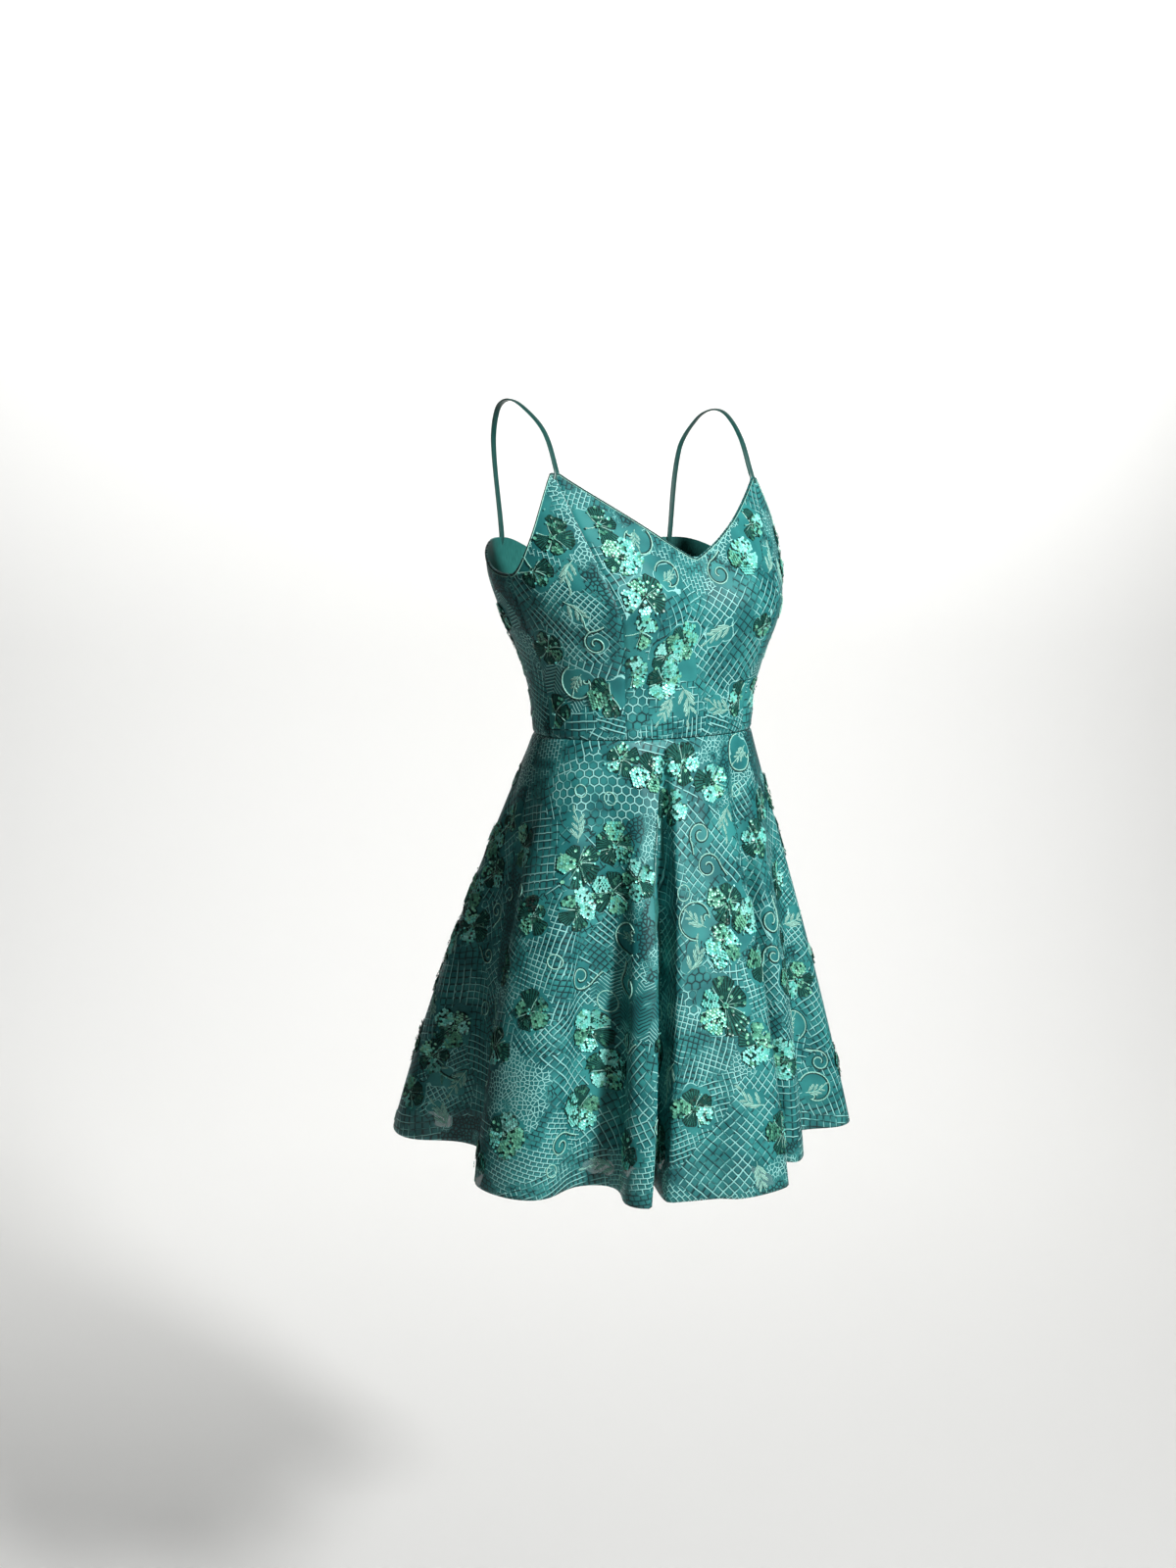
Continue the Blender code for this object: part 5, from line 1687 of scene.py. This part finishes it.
# Each large patch of one net: its kind, its share across and its height from the waist seam, its half width
# and half height in millimetres, and its turn in degrees.
PATCHES = {
    "bodice_front": (
        (SATIN, 0.24, 172, 30, 20, -30),
        (GRID, 0.74, 104, 52, 74, -35),
        (HEXAGON, 0.09, 26, 16, 24, 0),
        (FINE_GRID, 0.34, 12, 34, 15, 4),
        (BRICK, 0.06, 246, 24, 26, 62),
        (SATIN, 0.40, 74, 16, 26, 20),
        (SATIN, 0.82, 196, 22, 26, 0),
    ),
    "bodice_side": (
        (BRICK, 0.42, 246, 30, 22, 15),
        (FINE_GRID, 0.56, 128, 40, 50, 40),
        (COMB, 0.20, 54, 20, 40, 70),
    ),
    "bodice_back": (
        (GRID, 0.30, 110, 46, 40, 35),
        (HEXAGON, 0.70, 60, 26, 24, 0),
        (COMB, 0.80, 140, 22, 30, 70),
        (FINE_GRID, 0.22, 24, 40, 18, 0),
    ),
    "skirt_front": (
        (HEXAGON, 0.23, -48, 56, 38, 0),
        (FINE_GRID, 0.15, -215, 34, 74, -14),
        (COMB, 0.30, -262, 30, 74, 78),
        (SATIN, 0.34, -150, 16, 26, 0),
        (SCRIBBLE, 0.12, -350, 40, 46, 0),
        (GRID, 0.505, -110, 34, 66, 42),
        (SATIN, 0.55, -180, 20, 30, 10),
        (FINE_GRID, 0.58, -278, 36, 56, 4),
        (HEXAGON, 0.49, -250, 24, 30, 0),
        (GRID, 0.525, -392, 88, 40, 40),
        (SCRIBBLE, 0.77, -262, 44, 66, 0),
        (FINE_GRID, 0.84, -180, 46, 60, 30),
        (FINE_GRID, 0.68, -90, 34, 46, 30),
        (GRID, 0.84, -400, 60, 40, 12),
        (BRICK, 0.40, -330, 30, 60, 60),
    ),
    "skirt_back": (
        (GRID, 0.80, -110, 50, 70, 40),
        (HEXAGON, 0.30, -90, 34, 40, 0),
        (COMB, 0.55, -190, 30, 60, 80),
        (SCRIBBLE, 0.20, -250, 50, 60, 0),
        (GRID, 0.78, -300, 60, 60, 10),
        (BRICK, 0.42, -330, 50, 40, 50),
        (FINE_GRID, 0.62, -400, 60, 30, 30),
    ),
}


# Soft creases in the worn cloth, as their place on the flat pattern, their length and breadth in metres,
# their turn in degrees and how far they rise, or sink where that is less than 0.
CREASES = {
    "bodice_front": (
        (-0.034, 0.016, 0.046, 0.0060, 8, 0.0009),
        (0.022, 0.026, 0.038, 0.0050, -10, -0.0008),
        (0.048, 0.012, 0.026, 0.0045, 14, 0.0008),
        (-0.052, 0.052, 0.034, 0.0070, 34, -0.0007),
        (0.050, 0.062, 0.040, 0.0060, -28, 0.0008),
        (0.004, 0.118, 0.052, 0.0090, 4, -0.0009),
        (-0.060, 0.172, 0.036, 0.0060, -62, 0.0007),
        (0.066, 0.160, 0.032, 0.0055, 58, 0.0007),
    ),
    "bodice_side": (
        (0.004, 0.020, 0.036, 0.0050, 12, 0.0009),
        (-0.014, 0.038, 0.030, 0.0060, -14, -0.0008),
        (0.012, 0.070, 0.044, 0.0065, 24, 0.0008),
        (-0.010, 0.112, 0.030, 0.0060, -30, -0.0008),
        (0.014, 0.150, 0.028, 0.0050, 40, 0.0007),
    ),
    "bodice_back": (
        (-0.022, 0.014, 0.040, 0.0055, 6, 0.0009),
        (0.018, 0.030, 0.050, 0.0060, -9, -0.0009),
        (-0.006, 0.056, 0.036, 0.0070, 16, 0.0008),
        (0.028, 0.094, 0.044, 0.0080, -22, -0.0008),
        (-0.030, 0.124, 0.030, 0.0055, 32, 0.0007),
    ),
    "skirt_front": (
        (-0.150, -0.040, 0.050, 0.0070, 64, 0.0012),
        (-0.118, -0.060, 0.072, 0.0080, 72, -0.0013),
        (-0.074, -0.034, 0.044, 0.0055, 80, 0.0011),
        (-0.046, -0.190, 0.120, 0.0150, 88, -0.0018),
        (0.012, -0.052, 0.060, 0.0065, 86, 0.0012),
        (0.040, -0.030, 0.036, 0.0050, 100, -0.0011),
        (0.058, -0.240, 0.140, 0.0170, 94, 0.0020),
        (0.096, -0.046, 0.058, 0.0070, 104, 0.0012),
        (0.140, -0.060, 0.066, 0.0080, 112, -0.0013),
        (-0.230, -0.300, 0.110, 0.0160, 62, 0.0018),
        (-0.140, -0.340, 0.090, 0.0140, 76, -0.0017),
        (0.150, -0.350, 0.100, 0.0160, 106, -0.0018),
        (0.260, -0.310, 0.090, 0.0150, 120, 0.0017),
        (0.010, -0.360, 0.070, 0.0150, 70, 0.0016),
        (-0.210, -0.144, 0.150, 0.0200, 60, 0.0060),
        (-0.280, -0.266, 0.140, 0.0240, 60, 0.0050),
        (-0.173, -0.163, 0.160, 0.0200, 66, -0.0065),
        (-0.231, -0.290, 0.130, 0.0230, 66, -0.0050),
        (-0.089, -0.139, 0.120, 0.0260, 76, -0.0080),
        (-0.124, -0.285, 0.150, 0.0280, 76, -0.0080),
        (0.110, -0.170, 0.140, 0.0220, 104, -0.0040),
    ),
    "skirt_back": (
        (-0.060, -0.036, 0.050, 0.0060, 76, 0.0012),
        (-0.022, -0.054, 0.064, 0.0075, 84, -0.0012),
        (0.028, -0.030, 0.040, 0.0055, 96, 0.0011),
        (0.062, -0.064, 0.070, 0.0080, 106, -0.0013),
        (-0.090, -0.230, 0.110, 0.0160, 70, 0.0018),
        (0.020, -0.270, 0.120, 0.0150, 92, -0.0018),
        (0.110, -0.320, 0.090, 0.0140, 110, 0.0017),
    ),
}


def embroider(name, cloth, top, seed):
    """The motifs of the table, and smaller ones in the places they leave free."""
    work = Embroidery(cloth, top, seed)
    for kind, across, up, turn, size, style in MOTIFS[name]:
        x, y, lean = cloth.spot(across, up / 1000)
        work.draw(kind, x, y, turn + lean, size / 1000, style)
    area = cloth.widths.mean() * (cloth.heights.max() - cloth.heights.min())
    work.scatter(int(area * TRIES_A_SQUARE_METRE))
    if top is not None:
        work.edge_threads()
    return work


# ---------------------------------------------------------------- putting it together
LEFT, RIGHT = 1, -1  # the wearer's sides, as signs of X
SKIRT_SEED = 20  # a panel's seed is its number, and the skirt's panels count from here


def placed_patches(cloth, rows):
    """The rows of a patch table with their places on the flat pattern."""
    placed = []
    for kind, across, up, half_width, half_height, turn in rows:
        x, y, lean = cloth.spot(across, up / 1000)
        placed.append((kind, float(x), float(y), half_width / 1000, half_height / 1000, turn + lean))
    return placed


def make_bodice(cloths, satin, stuffs):
    """The five bodice panels, each of lace over satin sewn as one layer, with their embroidery."""
    for number, (name, start, end, top, side) in enumerate((
        ("bodice_front", right_princess_angle, princess_angle, neckline_drop, LEFT),
        ("bodice_side_front_left", princess_angle, side_angle, armhole_drop, LEFT),
        ("bodice_side_front_right", princess_angle, side_angle, armhole_drop, RIGHT),
        ("bodice_back_left", side_angle, centre_back, back_edge_drop, LEFT),
        ("bodice_back_right", side_angle, centre_back, back_edge_drop, RIGHT),
    )):
        group = name if name in PATCHES else ("bodice_side" if "side" in name else "bodice_back")
        cloth = cloths[name] = bodice_cloth(start, end, side, CREASES[group])
        shares = bodice_shares(cloth, start, end, top, side)
        lace = lace_material(f"embroidered lace on satin, {name}", placed_patches(cloth, PATCHES[group]))
        along = np.linspace(0, 1, TOP_EDGE_POINTS)
        edge = cloth.flat(*shares(along, np.zeros_like(along)))
        work = embroider(name, cloth, edge, number)
        across, down = stations(cloth.widths.mean(), BODICE_STEP), stations(BODICE_LENGTH, BODICE_STEP)
        piece = cloth_panel(
            f"{name}_lace", cloth, shares, across, down, 0.0, (lace, satin), BODICE_WALL,
            work.bare,
        )
        wear(piece, name)
        work.make(name, *stuffs)


def make_skirt(cloths, satin, stuffs):
    """The three skirt panels, each of embroidered tulle over a shorter satin lining."""
    lined = 1.0 - LINING_SHORTER / SKIRT_DROP
    for number, (word, first, last) in enumerate((
        ("back_right", 0, RIGHT_SIDE_FOLD),
        ("front", RIGHT_SIDE_FOLD, LEFT_SIDE_FOLD),
        ("back_left", LEFT_SIDE_FOLD, len(FOLDS)),
    )):
        name = f"skirt_{word}"
        group = "skirt_front" if word == "front" else "skirt_back"
        cloth = cloths[name] = skirt_cloth(first, last, CREASES[group])
        lace = lace_material(
            f"embroidered tulle, skirt {word}", placed_patches(cloth, PATCHES[group]),
            (cloth.apex, cloth.length * lined),
        )
        work = embroider(name, cloth, None, SKIRT_SEED + number)
        beside_zip = (zip_slit if first == 0 else seam_slit, zip_slit if last == len(FOLDS) else seam_slit)
        for kind, length, inset, slits, stuff, wall, step in (
            ("lace", 1.0, 0.0, (seam_slit, seam_slit), lace, LACE_WALL, LACE_STEP),
            ("lining", lined, LINING_INSET, beside_zip, satin, LINING_WALL, LINING_STEP),
        ):
            across = stations(cloth.widths.mean(), step)
            down = stations(cloth.length, step, (True, False)) * length
            piece = cloth_panel(
                f"{name}_{kind}", cloth, skirt_shares(cloth, slits), across, down, inset, (stuff,), wall,
                work.bare,
            )
            wear(piece, f"skirt_{kind}_{word}")
        work.make(name, *stuffs)


def main():
    satin = satin_material("teal satin lining", "#1f5f5a", "#327a73", 0.36, 0.2, (0.0010, 0.0080))
    stuffs = (
        thread_material("light mint cord", "#7fc8b8", "#b8ecdc"),
        thread_material("dark green cord", "#0a2624", "#174540"),
        petal_material(),
        sequin_material(),
    )
    cloths = {}
    make_bodice(cloths, satin, stuffs)
    make_skirt(cloths, satin, stuffs)

    # The straps' painted edge highlight: the strip's width and a light teal.
    painted_edge_highlight = (STRAP_STRIP, "#6fb3a8")
    ribbon = satin_material("folded satin strap", "#17423e", "#245a54", 0.38, 0.15, (0.0006, 0.0100), painted_edge_highlight)
    tape = tape_material("woven zip tape", "#1c5552", "#2e7a76")
    coil = coil_material()
    for word, side in (("left", LEFT), ("right", RIGHT)):
        make_strap(f"strap_{word}_satin", side, ribbon)
        make_zip(word, side, cloths[f"bodice_back_{word}"], cloths[f"skirt_back_{word}"], tape, coil)
    enamel = enamel_material()
    for name in ("zip_slider", "zip_pull"):
        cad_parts[name].data.materials.clear()
        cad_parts[name].data.materials.append(enamel)

    make_room()
    make_camera()
    make_light()
    bpy.context.scene.view_settings.view_transform = "Standard"


main()
